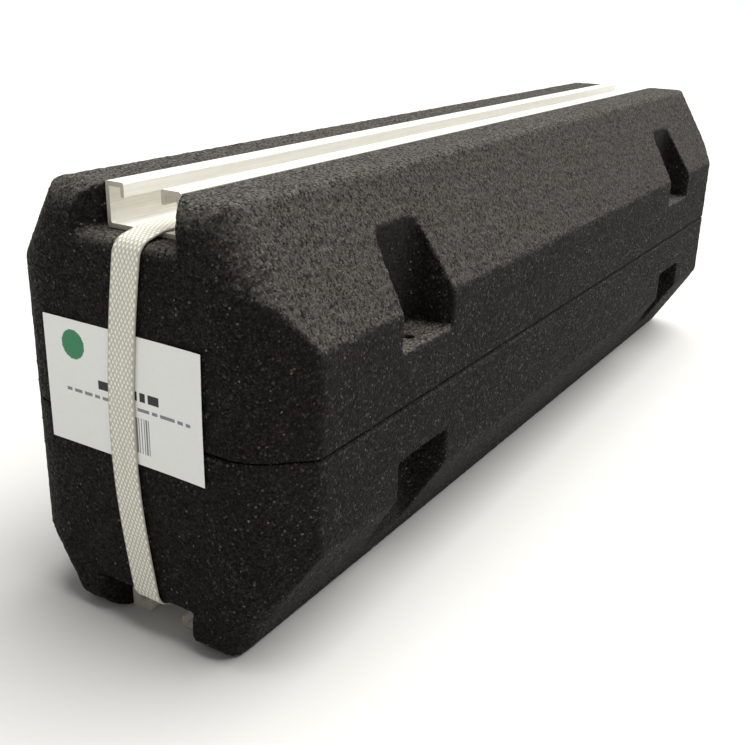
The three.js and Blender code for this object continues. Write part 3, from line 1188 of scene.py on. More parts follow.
    dressed = nodes.new("GeometryNodeSetMaterial")
    dressed.label = "Rubber all over"
    dressed.location = (1060, 100)
    links.new(plain.outputs["Geometry"], dressed.inputs["Geometry"])
    links.new(sizes.outputs["Rubber"], dressed.inputs["Material"])

    result = nodes.new("NodeGroupOutput")
    result.label = "Finished skin"
    result.location = (1260, 100)
    links.new(dressed.outputs["Geometry"], result.inputs["Skin"])
    return tree


def crumb_scatter_tree() -> bpy.types.NodeTree:
    """Build the tree that scatters single crumbs over a block, half sunk in its skin.

    Returns:
        The geometry node tree, with one named input for each size.
    """
    tree = bpy.data.node_groups.new("crumb_scatter", "GeometryNodeTree")
    tree.is_modifier = True
    sockets = tree.interface
    sockets.new_socket(name="Skin", in_out="INPUT", socket_type="NodeSocketGeometry")
    for name in ("Crumbs In A Square Metre", "Smallest", "Largest", "Seam Height", "Seam Margin"):
        sockets.new_socket(name=name, in_out="INPUT", socket_type="NodeSocketFloat")
    sockets.new_socket(name="Seed", in_out="INPUT", socket_type="NodeSocketInt")
    sockets.new_socket(name="Crumb", in_out="INPUT", socket_type="NodeSocketMaterial")
    sockets.new_socket(name="Crumbs", in_out="OUTPUT", socket_type="NodeSocketGeometry")
    nodes = tree.nodes
    links = tree.links

    where_frame = nodes.new("NodeFrame")
    where_frame.label = "Where crumbs stick out"
    shape_frame = nodes.new("NodeFrame")
    shape_frame.label = "Shape and turn of a crumb"

    sizes = nodes.new("NodeGroupInput")
    sizes.label = "Skin and sizes"
    sizes.location = (-1200, 0)

    place = nodes.new("GeometryNodeInputPosition")
    place.label = "Place on the skin"
    place.location = (-1200, 400)

    axes = nodes.new("ShaderNodeSeparateXYZ")
    axes.label = "Height"
    axes.location = (-1000, 400)
    axes.parent = where_frame
    links.new(place.outputs["Position"], axes.inputs["Vector"])

    from_seam = nodes.new("ShaderNodeMath")
    from_seam.label = "Height from the seam"
    from_seam.location = (-800, 400)
    from_seam.parent = where_frame
    from_seam.operation = "SUBTRACT"
    links.new(axes.outputs["Z"], from_seam.inputs[0])
    links.new(sizes.outputs["Seam Height"], from_seam.inputs[1])

    seam_distance = nodes.new("ShaderNodeMath")
    seam_distance.label = "Distance from the seam"
    seam_distance.location = (-600, 400)
    seam_distance.parent = where_frame
    seam_distance.operation = "ABSOLUTE"
    links.new(from_seam.outputs["Value"], seam_distance.inputs[0])

    clear = nodes.new("FunctionNodeCompare")
    clear.label = "Clear of the seam"
    clear.location = (-400, 400)
    clear.parent = where_frame
    clear.data_type = "FLOAT"
    clear.operation = "GREATER_THAN"
    links.new(seam_distance.outputs["Value"], clear.inputs["A"])
    links.new(sizes.outputs["Seam Margin"], clear.inputs["B"])

    spots = nodes.new("GeometryNodeDistributePointsOnFaces")
    spots.label = "Scattered spots"
    spots.location = (-180, 200)
    spots.parent = where_frame
    spots.distribute_method = "RANDOM"
    links.new(sizes.outputs["Skin"], spots.inputs["Mesh"])
    links.new(clear.outputs["Result"], spots.inputs["Selection"])
    links.new(sizes.outputs["Crumbs In A Square Metre"], spots.inputs["Density"])
    links.new(sizes.outputs["Seed"], spots.inputs["Seed"])

    lump = nodes.new("GeometryNodeMeshIcoSphere")
    lump.label = "Blunt crumb"
    lump.location = (-400, -120)
    lump.parent = shape_frame
    lump.inputs["Radius"].default_value = 1.0
    lump.inputs["Subdivisions"].default_value = 1

    turn = nodes.new("FunctionNodeRandomValue")
    turn.label = "Any turn"
    turn.location = (-400, -320)
    turn.parent = shape_frame
    turn.data_type = "FLOAT_VECTOR"
    turn.inputs[1].default_value = (math.tau, math.tau, math.tau)
    links.new(sizes.outputs["Seed"], turn.inputs["Seed"])

    stretch = nodes.new("FunctionNodeRandomValue")
    stretch.label = "Uneven shape"
    stretch.location = (-400, -560)
    stretch.parent = shape_frame
    stretch.data_type = "FLOAT_VECTOR"
    stretch.inputs[0].default_value = (0.7, 0.5, 0.4)
    stretch.inputs[1].default_value = (1.3, 1.0, 0.8)
    links.new(sizes.outputs["Seed"], stretch.inputs["Seed"])

    radius = nodes.new("FunctionNodeRandomValue")
    radius.label = "Size of a crumb"
    radius.location = (-400, -800)
    radius.parent = shape_frame
    radius.data_type = "FLOAT"
    links.new(sizes.outputs["Smallest"], radius.inputs[2])
    links.new(sizes.outputs["Largest"], radius.inputs[3])
    links.new(sizes.outputs["Seed"], radius.inputs["Seed"])

    scaled = nodes.new("ShaderNodeVectorMath")
    scaled.label = "Shape at its size"
    scaled.location = (-180, -560)
    scaled.parent = shape_frame
    scaled.operation = "SCALE"
    links.new(stretch.outputs[0], scaled.inputs[0])
    links.new(radius.outputs[1], scaled.inputs["Scale"])

    crumbs = nodes.new("GeometryNodeInstanceOnPoints")
    crumbs.label = "A crumb on each spot"
    crumbs.location = (60, 0)
    links.new(spots.outputs["Points"], crumbs.inputs["Points"])
    links.new(lump.outputs["Mesh"], crumbs.inputs["Instance"])
    links.new(turn.outputs[0], crumbs.inputs["Rotation"])
    links.new(scaled.outputs["Vector"], crumbs.inputs["Scale"])

    plain = nodes.new("GeometryNodeRealizeInstances")
    plain.label = "Plain mesh"
    plain.location = (260, 0)
    links.new(crumbs.outputs["Instances"], plain.inputs["Geometry"])

    dressed = nodes.new("GeometryNodeSetMaterial")
    dressed.label = "Loose crumb"
    dressed.location = (460, 0)
    links.new(plain.outputs["Geometry"], dressed.inputs["Geometry"])
    links.new(sizes.outputs["Crumb"], dressed.inputs["Material"])

    result = nodes.new("NodeGroupOutput")
    result.label = "Scattered crumbs"
    result.location = (660, 0)
    links.new(dressed.outputs["Geometry"], result.inputs["Crumbs"])
    return tree


def diamond_emboss_tree() -> bpy.types.NodeTree:
    """Build the tree that raises a diamond lattice on both faces of a flat band.

    The band's mesh has a corner at each crossing of the lattice and one in each hollow, so the
    tree only has to lift every second corner, as on a chessboard, and leave the edges flat.

    Returns:
        The geometry node tree, with one named input for each size.
    """
    tree = bpy.data.node_groups.new("diamond_emboss", "GeometryNodeTree")
    tree.is_modifier = True
    sockets = tree.interface
    sockets.new_socket(name="Band", in_out="INPUT", socket_type="NodeSocketGeometry")
    for name in ("Step Across", "Step Along", "Relief", "Flat Edge"):
        sockets.new_socket(name=name, in_out="INPUT", socket_type="NodeSocketFloat")
    sockets.new_socket(name="Plastic", in_out="INPUT", socket_type="NodeSocketMaterial")
    sockets.new_socket(name="Embossed Band", in_out="OUTPUT", socket_type="NodeSocketGeometry")
    nodes = tree.nodes
    links = tree.links

    lattice_frame = nodes.new("NodeFrame")
    lattice_frame.label = "Every second corner is raised"
    edge_frame = nodes.new("NodeFrame")
    edge_frame.label = "Flat along the edges"

    sizes = nodes.new("NodeGroupInput")
    sizes.label = "Band and sizes"
    sizes.location = (-1300, 0)

    place = nodes.new("GeometryNodeInputNamedAttribute")
    place.label = "Across and along the band"
    place.location = (-1300, 300)
    place.data_type = "FLOAT_VECTOR"
    place.inputs["Name"].default_value = BAND_UV

    axes = nodes.new("ShaderNodeSeparateXYZ")
    axes.label = "Across, along"
    axes.location = (-1100, 300)
    axes.parent = lattice_frame
    links.new(place.outputs["Attribute"], axes.inputs["Vector"])

    steps_across = nodes.new("ShaderNodeMath")
    steps_across.label = "Steps across"
    steps_across.location = (-900, 420)
    steps_across.parent = lattice_frame
    steps_across.operation = "DIVIDE"
    links.new(axes.outputs["X"], steps_across.inputs[0])
    links.new(sizes.outputs["Step Across"], steps_across.inputs[1])

    column = nodes.new("ShaderNodeMath")
    column.label = "Column"
    column.location = (-700, 420)
    column.parent = lattice_frame
    column.operation = "ROUND"
    links.new(steps_across.outputs["Value"], column.inputs[0])

    steps_along = nodes.new("ShaderNodeMath")
    steps_along.label = "Steps along"
    steps_along.location = (-900, 240)
    steps_along.parent = lattice_frame
    steps_along.operation = "DIVIDE"
    links.new(axes.outputs["Y"], steps_along.inputs[0])
    links.new(sizes.outputs["Step Along"], steps_along.inputs[1])

    row = nodes.new("ShaderNodeMath")
    row.label = "Row"
    row.location = (-700, 240)
    row.parent = lattice_frame
    row.operation = "ROUND"
    links.new(steps_along.outputs["Value"], row.inputs[0])

    count = nodes.new("ShaderNodeMath")
    count.label = "Column plus row"
    count.location = (-500, 330)
    count.parent = lattice_frame
    count.operation = "ADD"
    links.new(column.outputs["Value"], count.inputs[0])
    links.new(row.outputs["Value"], count.inputs[1])

    raised = nodes.new("ShaderNodeMath")
    raised.label = "1 on the lattice, 0 in a hollow"
    raised.location = (-300, 330)
    raised.parent = lattice_frame
    raised.operation = "FLOORED_MODULO"
    raised.inputs[1].default_value = 2.0
    links.new(count.outputs["Value"], raised.inputs[0])

    from_middle = nodes.new("ShaderNodeMath")
    from_middle.label = "Distance from the middle"
    from_middle.location = (-700, 0)
    from_middle.parent = edge_frame
    from_middle.operation = "ABSOLUTE"
    links.new(axes.outputs["X"], from_middle.inputs[0])

    inside = nodes.new("ShaderNodeMath")
    inside.label = "Inside the flat edge"
    inside.location = (-500, 0)
    inside.parent = edge_frame
    inside.operation = "LESS_THAN"
    links.new(from_middle.outputs["Value"], inside.inputs[0])
    links.new(sizes.outputs["Flat Edge"], inside.inputs[1])

    lifted = nodes.new("ShaderNodeMath")
    lifted.label = "Lift of this corner"
    lifted.location = (-100, 160)
    lifted.operation = "MULTIPLY"
    links.new(raised.outputs["Value"], lifted.inputs[0])
    links.new(inside.outputs["Value"], lifted.inputs[1])

    height = nodes.new("ShaderNodeMath")
    height.label = "Height of the lift"
    height.location = (100, 160)
    height.operation = "MULTIPLY"
    links.new(lifted.outputs["Value"], height.inputs[0])
    links.new(sizes.outputs["Relief"], height.inputs[1])

    outward = nodes.new("GeometryNodeInputNormal")
    outward.label = "Out of the band"
    outward.location = (100, -60)

    shift = nodes.new("ShaderNodeVectorMath")
    shift.label = "Push out"
    shift.location = (300, 60)
    shift.operation = "SCALE"
    links.new(outward.outputs["Normal"], shift.inputs[0])
    links.new(height.outputs["Value"], shift.inputs["Scale"])

    noted = nodes.new("GeometryNodeStoreNamedAttribute")
    noted.label = "Note what is raised"
    noted.location = (300, 320)
    noted.data_type = "FLOAT"
    noted.domain = "POINT"
    noted.inputs["Name"].default_value = EMBOSS_ATTRIBUTE
    links.new(sizes.outputs["Band"], noted.inputs["Geometry"])
    links.new(lifted.outputs["Value"], noted.inputs["Value"])

    embossed = nodes.new("GeometryNodeSetPosition")
    embossed.label = "Embossed faces"
    embossed.location = (520, 200)
    links.new(noted.outputs["Geometry"], embossed.inputs["Geometry"])
    links.new(shift.outputs["Vector"], embossed.inputs["Offset"])

    plain = nodes.new("GeometryNodeRealizeInstances")
    plain.label = "Plain mesh"
    plain.location = (720, 200)
    links.new(embossed.outputs["Geometry"], plain.inputs["Geometry"])

    dressed = nodes.new("GeometryNodeSetMaterial")
    dressed.label = "Strap plastic"
    dressed.location = (920, 200)
    links.new(plain.outputs["Geometry"], dressed.inputs["Geometry"])
    links.new(sizes.outputs["Plastic"], dressed.inputs["Material"])

    result = nodes.new("NodeGroupOutput")
    result.label = "Embossed strap"
    result.location = (1120, 200)
    links.new(dressed.outputs["Geometry"], result.inputs["Embossed Band"])
    return tree


# ---- sub-assemblies ----------------------------------------------------------------------


class Level(Enum):
    """Which of the two supports a piece belongs to."""

    UPPER = "upper"
    LOWER = "lower"


@dataclass
class RubberBlock:
    """One granulate block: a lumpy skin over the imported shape, and loose crumbs on it.

    Attributes:
        level: Whether it is the upper or the lower block.
        skin_tree: Geometry nodes that make the skin uneven.
        crumb_tree: Geometry nodes that scatter the crumbs.
        voxel: Spacing of the skin's mesh before it is thinned.
        most_faces: Triangles left in the skin once its flat parts are thinned.
        lump: Size of the skin's lumps.
        relief: How far a lump stands out or in.
        seam_margin: Height over which the relief fades in from the seam.
        slot_half_width: Half the width of the strip that stays flat round the rail.
        crumbs: Crumbs in a square metre.
        smallest: Radius of the smallest crumb.
        largest: Radius of the largest crumb.
    """

    level: Level
    skin_tree: bpy.types.NodeTree
    crumb_tree: bpy.types.NodeTree
    voxel: float = 1.2 * MM
    most_faces: int = 190_000
    lump: float = 3.2 * MM
    relief: float = 0.3 * MM
    seam_margin: float = 2.5 * MM
    slot_half_width: float = 22.0 * MM
    crumbs: float = 6500.0
    smallest: float = 0.25 * MM
    largest: float = 0.55 * MM

    @property
    def node(self) -> str:
        """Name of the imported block."""
        return f"{self.level.value}_block"

    @property
    def seam_height(self) -> float:
        """Height of the plane in which the two bases meet."""
        low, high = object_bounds()
        return (low.z + high.z) / 2

    def build(self, rubber: bpy.types.Material) -> bpy.types.Object:
        """Make the block's skin.

        Args:
            rubber: The granulate's material.

        Returns:
            The skin as one closed mesh.
        """
        block = link_mesh(f"{self.node}_skin", merged_copy(self.node))
        even = block.modifiers.new("even mesh", "REMESH")
        even.mode = "VOXEL"
        even.voxel_size = self.voxel
        settle(block)
        block.data.calc_loop_triangles()
        thin = block.modifiers.new("thinner flats", "DECIMATE")
        thin.ratio = min(1.0, self.most_faces / len(block.data.loop_triangles))
        settle(block)
        grow(block, self.skin_tree, {
            "Lump Size": self.lump,
            "Relief": self.relief,
            "Seam Height": self.seam_height,
            "Seam Margin": self.seam_margin,
            "Slot Half Width": self.slot_half_width,
            "Rubber": rubber,
        })
        declare(block, "granulate_rubber", self.node)
        return block

    def dress(self, skin: bpy.types.Object, crumb: bpy.types.Material) -> bpy.types.Object:
        """Scatter loose crumbs over the skin.

        Args:
            skin: The finished skin of the same block.
            crumb: The crumbs' material.

        Returns:
            All the crumbs as one mesh.
        """
        crumbs = link_mesh(f"{self.node}_loose_crumbs", skin.data.copy())
        grow(crumbs, self.crumb_tree, {
            "Crumbs In A Square Metre": self.crumbs,
            "Smallest": self.smallest,
            "Largest": self.largest,
            "Seam Height": self.seam_height,
            "Seam Margin": self.seam_margin,
            "Seed": list(Level).index(self.level) + 1,
            "Crumb": crumb,
        })
        declare(crumbs, "granulate_rubber")
        return crumbs


@dataclass
class Rail:
    """One aluminium channel and the screws that hold it down, as they were packed.

    Attributes:
        level: Whether it belongs to the upper or the lower support.
    """

    level: Level

    def dress(self, aluminium: bpy.types.Material, zinc: bpy.types.Material) -> None:
        """Give the rail and its screws their metals.

        Args:
            aluminium: The rail's material.
            zinc: The screws' material.
        """
        for name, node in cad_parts.items():
            if not name.startswith(f"{self.level.value}_rail"):
                continue
            for slot in node.material_slots:
                slot.material = zinc if "screw" in name else aluminium
            log.info("%s: packed shape, new finish", name)


@dataclass
class Strap:
    """The flat band that holds the pair together, embossed on both faces.

    Attributes:
        emboss_tree: Geometry nodes that raise the diamond lattice.
        thickness: Thickness of the band without its lattice.
        width: Width of the band.
        sill_radius: Radius of the rubber sill that the band bends over.
        gap: Air between neighbouring pieces.
        across: Steps of the lattice across the band.
        diamond: Length of one diamond along the band.
        relief: Height of the lattice.
        offset: Sideways place of the band in the rails.
        near_bow: How far it bows sideways down the labelled end.
        far_bow: How far it bows sideways down the other end.
        bow_height: Height at which it bows most.
        bow_margin: Height at each end of the run that hangs straight.
        bend_steps: Straight pieces in the bend over a sill.
    """

    emboss_tree: bpy.types.NodeTree
    thickness: float = 0.6 * MM
    width: float = 14.5 * MM
    sill_radius: float = 5.0 * MM
    gap: float = 0.3 * MM
    across: int = 14
    diamond: float = 3.8 * MM
    relief: float = 0.16 * MM
    offset: float = -4.0 * MM
    near_bow: float = 9.0 * MM
    far_bow: float = 4.0 * MM
    bow_height: float = 95.0 * MM
    bow_margin: float = 3.0 * MM
    bend_steps: int = 12

    def corner(self) -> tuple[np.ndarray, float]:
        """Find the sill that the band bends over, in X and Z, at the upper far end.

        Returns:
            The bend's centre, and the radius of the band's middle layer round it.
        """
        strap_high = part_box("strap")[1]
        rail_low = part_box("upper_rail")[0]
        slot_floor = rail_low.z - self.gap
        centre_z = slot_floor - self.sill_radius
        block_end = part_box("upper_block")[1].x
        centre_x = block_end - self.sill_radius
        radius = strap_high.x - centre_x - self.thickness / 2
        return np.array((centre_x, centre_z)), radius

    def quarter(self) -> np.ndarray:
        """Draw a quarter of the loop, from over the middle to the middle of the far end.

        Returns:
            Points (x, z) of the band's middle layer.
        """
        centre, radius = self.corner()
        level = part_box("strap")[1].z - self.thickness / 2
        lift_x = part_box("upper_rail")[1].x + self.gap
        reach = np.array((lift_x, level)) - centre
        lean = math.atan2(reach[1], reach[0]) - math.acos(radius / math.hypot(*reach))
        points = [(0.0, level), (lift_x, level)]
        for share in np.linspace(1.0, 0.0, self.bend_steps + 1):
            angle = lean * share
            points.append((
                centre[0] + radius * math.cos(angle),
                centre[1] + radius * math.sin(angle),
            ))
        points.append((centre[0] + radius, self.middle_height))
        return np.array(points)

    @property
    def middle_height(self) -> float:
        """Height of the middle of the loop."""
        low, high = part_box("strap")
        return (low.z + high.z) / 2

    def loop(self) -> np.ndarray:
        """Draw the whole loop, closed on itself.

        Returns:
            Points (x, z) of the middle layer, without repeating the first one at the end.
        """
        quarter = self.quarter()
        below = quarter[-2::-1] * (1, -1) + (0, 2 * self.middle_height)
        half = np.vstack((quarter, below))
        return np.vstack((half, half[-2:0:-1] * (-1, 1)))

    def sway(self, places: np.ndarray) -> np.ndarray:
        """Find how far the band has strayed sideways.

        Args:
            places: Points (x, z) of the middle layer.

        Returns:
            The sideways place Y of the band's middle at each point.
        """
        low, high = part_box("strap")
        bow = np.where(places[:, 0] < 0, self.near_bow, self.far_bow)
        above = (places[:, 1] - self.bow_height) / (high.z - self.bow_margin - self.bow_height)
        below = (self.bow_height - places[:, 1]) / (self.bow_height - low.z - self.bow_margin)
        height = np.clip(np.maximum(above, below), 0.0, 1.0)
        on_end = np.abs(places[:, 0]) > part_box("upper_rail")[1].x
        return self.offset + np.where(on_end, bow * np.cos(height * math.pi / 2), 0.0)

    def build(self, plastic: bpy.types.Material) -> bpy.types.Object:
        """Make the band.

        Args:
            plastic: The strapping's material.

        Returns:
            The band as one closed mesh.
        """
        loop = self.loop()
        ring = np.vstack((loop, loop[:1]))
        travel = np.concatenate(([0.0], np.cumsum(np.linalg.norm(np.diff(ring, axis=0), axis=1))))
        rows = 2 * round(travel[-1] / self.diamond)
        step_along = travel[-1] / rows
        stations = np.arange(rows) * step_along
        places = np.column_stack([np.interp(stations, travel, ring[:, k]) for k in (0, 1)])
        tangent = np.roll(places, -1, axis=0) - np.roll(places, 1, axis=0)
        tangent /= np.linalg.norm(tangent, axis=1)[:, None]
        outward = np.column_stack((-tangent[:, 1], tangent[:, 0]))
        outward *= np.sign(np.sum(outward * (places - (0, self.middle_height)), axis=1))[:, None]
        middle = self.sway(places)
        step_across = self.width / self.across
        band = bmesh.new()
        uv_layer = band.loops.layers.uv.new(BAND_UV)
        layers = []
        for side in (1, -1):
            surface = places + outward * side * self.thickness / 2
            layers.append([
                [
                    band.verts.new((x, y + (column - self.across / 2) * step_across, z))
                    for column in range(self.across + 1)
                ]
                for (x, z), y in zip(surface, middle)
            ])
        for side, grid in enumerate(layers):
            for row in range(rows):
                after = grid[(row + 1) % rows]
                for column in range(self.across):
                    corners = [
                        (grid[row][column], column, row),
                        (grid[row][column + 1], column + 1, row),
                        (after[column + 1], column + 1, row + 1),
                        (after[column], column, row + 1),
                    ]
                    if (column + row) % 2 == 0:
                        corners = corners[1:] + corners[:1]
                    for triple in ((0, 1, 2), (0, 2, 3)):
                        picked = [corners[k] for k in triple]
                        if side == 1:
                            picked.reverse()
                        face = band.faces.new([vertex for vertex, _, _ in picked])
                        for loop_corner, (_, c, r) in zip(face.loops, picked):
                            across = (c - self.across / 2) * step_across
                            loop_corner[uv_layer].uv = (across, r * step_along)
        for column in (0, self.across):
            for row in range(rows):
                after = (row + 1) % rows
                rim = band.faces.new([
                    layers[0][row][column],
                    layers[0][after][column],
                    layers[1][after][column],
                    layers[1][row][column],
                ])
                across = (column - self.across / 2) * step_across
                for loop_corner, r in zip(rim.loops, (row, row + 1, row + 1, row)):
                    loop_corner[uv_layer].uv = (across, r * step_along)
        bmesh.ops.recalc_face_normals(band, faces=band.faces)
        mesh = bpy.data.meshes.new("strap_band")
        band.to_mesh(mesh)
        band.free()
        strap = link_mesh("strap_band", mesh)
        grow(strap, self.emboss_tree, {
            "Step Across": step_across,
            "Step Along": step_along,
            "Relief": self.relief,
            "Flat Edge": self.width / 2 - 0.5 * step_across,
            "Plastic": plastic,
        })
        declare(strap, "strap_plastic", "strap")
        return strap


class Ink(Enum):
    """Colours that the label is printed in."""

    PAPER = (0.86, 0.865, 0.85, 1.0)
    GREEN = (0.05, 0.24, 0.12, 1.0)
    BLACK = (0.035, 0.035, 0.037, 1.0)
    GREY = (0.24, 0.24, 0.25, 1.0)


@dataclass(frozen=True)
class Bar:
    """A printed rectangle, measured in millimetres from the label's top left corner.

    Attributes:
        left: Distance of its left side from the label's left edge.
        top: Distance of its top from the label's top edge.
        width: Its width.
        height: Its height.
        ink: Its colour.
    """

    left: float
    top: float
    width: float
    height: float
    ink: Ink

    def covers(self, x: float, y: float) -> bool:
        """Tell whether a point, in millimetres from the top left corner, is inside."""
        return 0 <= x - self.left < self.width and 0 <= y - self.top < self.height


@dataclass(frozen=True)
class Disc:
    """A printed disc, measured in millimetres from the label's top left corner.

    Attributes:
        across: Distance of its middle from the label's left edge.
        down: Distance of its middle from the label's top edge.
        radius: Its radius.
        ink: Its colour.
    """

    across: float
    down: float
    radius: float
    ink: Ink

    def covers(self, x: float, y: float) -> bool:
        """Tell whether a point, in millimetres from the top left corner, is inside."""
        return math.hypot(x - self.across, y - self.down) < self.radius


@dataclass
class Label:
    """The paper label under the strap, with its right edge lifted off the rubber.

    Attributes:
        cell: Spacing of the label's mesh, and the finest thing that it can print.
        thickness: Thickness of the paper.
        lift: How far the loose right edge stands off.
        seed: Start of the random numbers for words and barcode stripes.
        word_widths: Widths that a printed word can have, in millimetres.
        word_gap: Space between two words, in millimetres.
        stripe_widths: Widths that a stripe or the space after it can have, in millimetres.
        flat_right: Share of the width, right of the strap, that lies flat.
        flat_left: Share of the width, left of the strap, that lies flat.
        left_lift: Lift of the left edge, as a share of the right edge's.
        corner_lift: Lift of the right edge's corners, as a share of the lift.
        middle_lift: What the middle of the right edge has more than its corners.
        art: Shapes printed so far, the first one lowest.
    """

    cell: float = 0.5 * MM
    thickness: float = 0.15 * MM
    lift: float = 0.9 * MM
    seed: int = 7
    word_widths: tuple[float, ...] = (3.0, 4.5, 6.5, 8.0)
    word_gap: float = 1.5
    stripe_widths: tuple[float, ...] = (0.5, 0.5, 1.0)
    flat_right: float = 0.12
    flat_left: float = 0.15
    left_lift: float = 0.35
    corner_lift: float = 0.75
    middle_lift: float = 0.35
    art: list[Bar | Disc] = field(default_factory=list)

    def words(self, left: float, right: float, top: float, height: float, ink: Ink) -> None:
        """Print a line of plain bars that stand for words.

        Args:
            left: Where the line starts.
            right: Where it ends.
            top: Distance of the line from the label's top edge.
            height: Height of the bars.
            ink: Their colour.
        """
        rng = np.random.default_rng(self.seed + int(top))
        while left < right:
            width = min(float(rng.choice(self.word_widths)), right - left)
            self.art.append(Bar(left, top, width, height, ink))
            left += width + self.word_gap

    def stripes(self, left: float, right: float, top: float, height: float) -> None:
        """Print a block of upright stripes, as on a barcode.

        Args:
            left: Where the block starts.
            right: Where it ends.
            top: Distance of the block from the label's top edge.
            height: Height of the stripes.
        """
        rng = np.random.default_rng(self.seed)
        while left < right:
            width = float(rng.choice(self.stripe_widths))
            self.art.append(Bar(left, top, width, height, Ink.GREY))
            left += width + float(rng.choice(self.stripe_widths))

    def lay_out(self) -> None:
        """Place the plain disc, the lines of words and the barcode."""
        self.art.append(Disc(17.0, 11.0, 6.5, Ink.GREEN))
        self.words(30.5, 64.5, 24.0, 4.0, Ink.BLACK)
        self.words(11.5, 81.5, 31.0, 1.5, Ink.GREY)
        self.stripes(42.0, 59.0, 35.5, 16.0)

    def ink_at(self, x: float, y: float) -> Ink:
        """Find the ink at a point, in millimetres from the top left corner.

        Args:
            x: Distance from the left edge.
            y: Distance from the top edge.

        Returns:
            The last ink printed there, or bare paper.
        """
        found = Ink.PAPER
        for bar in self.art:
            if bar.covers(x, y):
                found = bar.ink
        return found

    def stand_off(self, across: float, down: float, strap_share: float) -> float:
        """Find how far the paper stands off the rubber.

        Args:
            across: Share of the way from the left edge to the right one.
            down: Share of the way from the top edge to the bottom one.
            strap_share: Share of the way across at which the strap presses it flat.

        Returns:
            The distance from the label's flat place.
        """
        free = 1 - self.flat_right - strap_share
        loose = max(0.0, (across - strap_share - self.flat_right) / free)
        left = max(0.0, (strap_share - self.flat_left - across) / strap_share)
        edge = self.corner_lift + self.middle_lift * math.sin(math.pi * down)
        right_curl = self.lift * loose**2 * edge
        left_curl = self.left_lift * self.lift * left**2
        return right_curl + left_curl

    def build(self, paper: bpy.types.Material) -> bpy.types.Object:
        """Make the label.

        Args:
            paper: The printed paper's material.

        Returns:
            The label as one closed mesh.
        """
        self.lay_out()
        low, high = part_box("label")
        columns = round((high.y - low.y) / self.cell)
        rows = round((high.z - low.z) / self.cell)
        strap_low, strap_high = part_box("strap")
        strap_share = (high.y - (strap_low.y + strap_high.y) / 2) / (high.y - low.y)
        sheet = bmesh.new()
        grid = []
        for row in range(rows + 1):
            line = []
            for column in range(columns + 1):
                out = self.stand_off(column / columns, row / rows, strap_share)
                line.append(sheet.verts.new((
                    high.x - self.thickness - out,
                    high.y - column * self.cell,
                    high.z - row * self.cell,
                )))
            grid.append(line)
        inks = []
        for row in range(rows):
            for column in range(columns):
                sheet.faces.new((
                    grid[row][column],
                    grid[row + 1][column],
                    grid[row + 1][column + 1],
                    grid[row][column + 1],
                ))
                middle = ((column + 0.5) * self.cell / MM, (row + 0.5) * self.cell / MM)
                inks.append(self.ink_at(*middle))
        mesh = bpy.data.meshes.new("label_sheet")
        sheet.to_mesh(mesh)
        sheet.free()
        colours = mesh.color_attributes.new(INK_ATTRIBUTE, "FLOAT_COLOR", "CORNER")
        for polygon, ink in zip(mesh.polygons, inks):
            for corner in polygon.loop_indices:
                colours.data[corner].color = ink.value
        mesh.materials.append(paper)
        label = link_mesh("label_sheet", mesh)
        body = label.modifiers.new("paper thickness", "SOLIDIFY")
        body.thickness = self.thickness
        body.offset = -1.0
        settle(label)
        declare(label, "label_paper", "label")
        return label


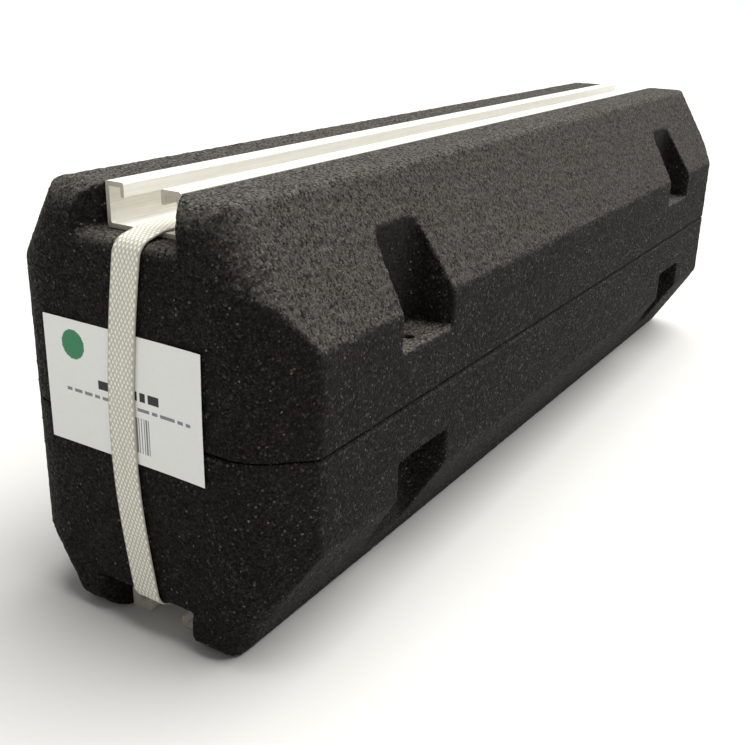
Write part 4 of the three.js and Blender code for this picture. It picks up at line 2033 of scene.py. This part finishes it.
@dataclass
class Studio:
    """Pale floor, soft lights and the camera.

    Attributes:
        floor_size: Length of the floor's sides.
        eye: Where the camera stands.
        heading: Turn of the camera from +X towards +Y, in degrees.
        dip: How far it looks down, in degrees.
        roll: How far it leans, in degrees.
        lens: Focal length, in millimetres.
        sensor: Width of the camera's sensor, in millimetres.
        shift: Shift of the lens to the side and up.
        clip: Nearest and farthest distance that the camera sees.
        fill: Brightness of the light that fills the air.
        softbox: Light that falls on the floor from overhead.
        spread: Width of the softbox as seen from the floor, in degrees.
        tilt: How far it hangs towards the visible side, in degrees.
        lean: How far it hangs towards the far end, in degrees.
    """

    floor_size: float = 40.0
    eye: Vector = field(default_factory=lambda: Vector((-0.56885, -0.27933, 0.27545)))
    heading: float = 32.276
    dip: float = 20.631
    roll: float = 1.290
    lens: float = 48.251
    sensor: float = 36.0
    shift: tuple[float, float] = (0.01875, -0.017)
    clip: tuple[float, float] = (0.01, 50.0)
    fill: float = 0.34
    softbox: float = 5.4
    spread: float = 70.0
    tilt: float = 14.0
    lean: float = 22.0

    def place_camera(self) -> bpy.types.Object:
        """Stand the camera in its place.

        Returns:
            The camera object.
        """
        heading = math.radians(self.heading)
        dip = math.radians(self.dip)
        ahead = Vector((
            math.cos(dip) * math.cos(heading),
            math.cos(dip) * math.sin(heading),
            -math.sin(dip),
        ))
        level = ahead.cross(Vector((0, 0, 1))).normalized()
        upright = level.cross(ahead)
        roll = math.radians(self.roll)
        right = level * math.cos(roll) + upright * math.sin(roll)
        up = upright * math.cos(roll) - level * math.sin(roll)
        data = bpy.data.cameras.new("camera")
        data.sensor_width = self.sensor
        data.lens = self.lens
        data.shift_x, data.shift_y = self.shift
        data.clip_start, data.clip_end = self.clip
        camera = bpy.data.objects.new("camera", data)
        axes = Matrix((right, up, -ahead)).transposed()
        camera.matrix_world = Matrix.Translation(self.eye) @ axes.to_4x4()
        bpy.context.scene.collection.objects.link(camera)
        bpy.context.scene.camera = camera
        return camera

    def hang_softbox(self) -> bpy.types.Object:
        """Hang a wide soft light overhead, so that it lights the whole floor evenly.

        Returns:
            The light object.
        """
        data = bpy.data.lights.new("overhead_softbox", "SUN")
        data.energy = self.softbox
        data.angle = math.radians(self.spread)
        data.color = (1.0, 0.99, 0.965)
        light = bpy.data.objects.new("overhead_softbox", data)
        light.rotation_euler = (math.radians(self.tilt), math.radians(self.lean), 0.0)
        light.location = (0.0, 0.0, 2.0)
        bpy.context.scene.collection.objects.link(light)
        return light

    def lay_floor(self, material: bpy.types.Material) -> bpy.types.Object:
        """Lay the floor just under the lowest point of the pair.

        Args:
            material: The floor's material.

        Returns:
            The floor object.
        """
        half = self.floor_size / 2
        mesh = bpy.data.meshes.new("floor")
        corners = [(-half, -half, 0), (half, -half, 0), (half, half, 0), (-half, half, 0)]
        mesh.from_pydata(corners, [], [(0, 1, 2, 3)])
        mesh.materials.append(material)
        floor = link_mesh("floor", mesh)
        floor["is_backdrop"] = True
        return floor

    def light_world(self) -> None:
        """Fill the air with an even pale light, and show white where nothing stands."""
        world = bpy.data.worlds.new("studio_air")
        world.use_nodes = True
        nodes = world.node_tree.nodes
        links = world.node_tree.links
        nodes.clear()

        fill = nodes.new("ShaderNodeBackground")
        fill.label = "Light that fills the air"
        fill.location = (-300, 100)
        fill.inputs["Color"].default_value = (1.0, 0.99, 0.97, 1)
        fill.inputs["Strength"].default_value = self.fill

        wall = nodes.new("ShaderNodeBackground")
        wall.label = "White wall behind"
        wall.location = (-300, -60)
        wall.inputs["Color"].default_value = (1.0, 1.0, 1.0, 1)

        rays = nodes.new("ShaderNodeLightPath")
        rays.label = "Seen straight from the camera"
        rays.location = (-300, 420)

        choice = nodes.new("ShaderNodeMixShader")
        choice.label = "Fill or wall"
        choice.location = (-60, 100)
        links.new(rays.outputs["Is Camera Ray"], choice.inputs["Fac"])
        links.new(fill.outputs["Background"], choice.inputs[1])
        links.new(wall.outputs["Background"], choice.inputs[2])

        output = nodes.new("ShaderNodeOutputWorld")
        output.label = "Studio air"
        output.location = (160, 100)
        links.new(choice.outputs["Shader"], output.inputs["Surface"])
        bpy.context.scene.world = world

    def build(self, floor: bpy.types.Material) -> None:
        """Set up the whole studio.

        Args:
            floor: The floor's material.
        """
        self.place_camera()
        self.lay_floor(floor)
        self.light_world()
        self.hang_softbox()
        bpy.context.scene.view_settings.view_transform = "Standard"


# ---- the whole ---------------------------------------------------------------------------


def main() -> None:
    """Build the studio and the pair of supports, piece by piece."""
    logging.basicConfig(level=logging.INFO, format="%(message)s")
    Studio().build(StudioFloor().material())
    rubber = GranulateRubber().material()
    crumb = LooseCrumb().material()
    aluminium = ALUMINIUM.material()
    zinc = ZINC.material()
    skin_tree = granulate_skin_tree()
    crumb_tree = crumb_scatter_tree()
    for level in Level:
        block = RubberBlock(level, skin_tree, crumb_tree)
        skin = block.build(rubber)
        block.dress(skin, crumb)
        Rail(level).dress(aluminium, zinc)
    Strap(diamond_emboss_tree()).build(StrapPlastic().material())
    Label().build(PrintedPaper().material())


if __name__ == "__main__":
    main()
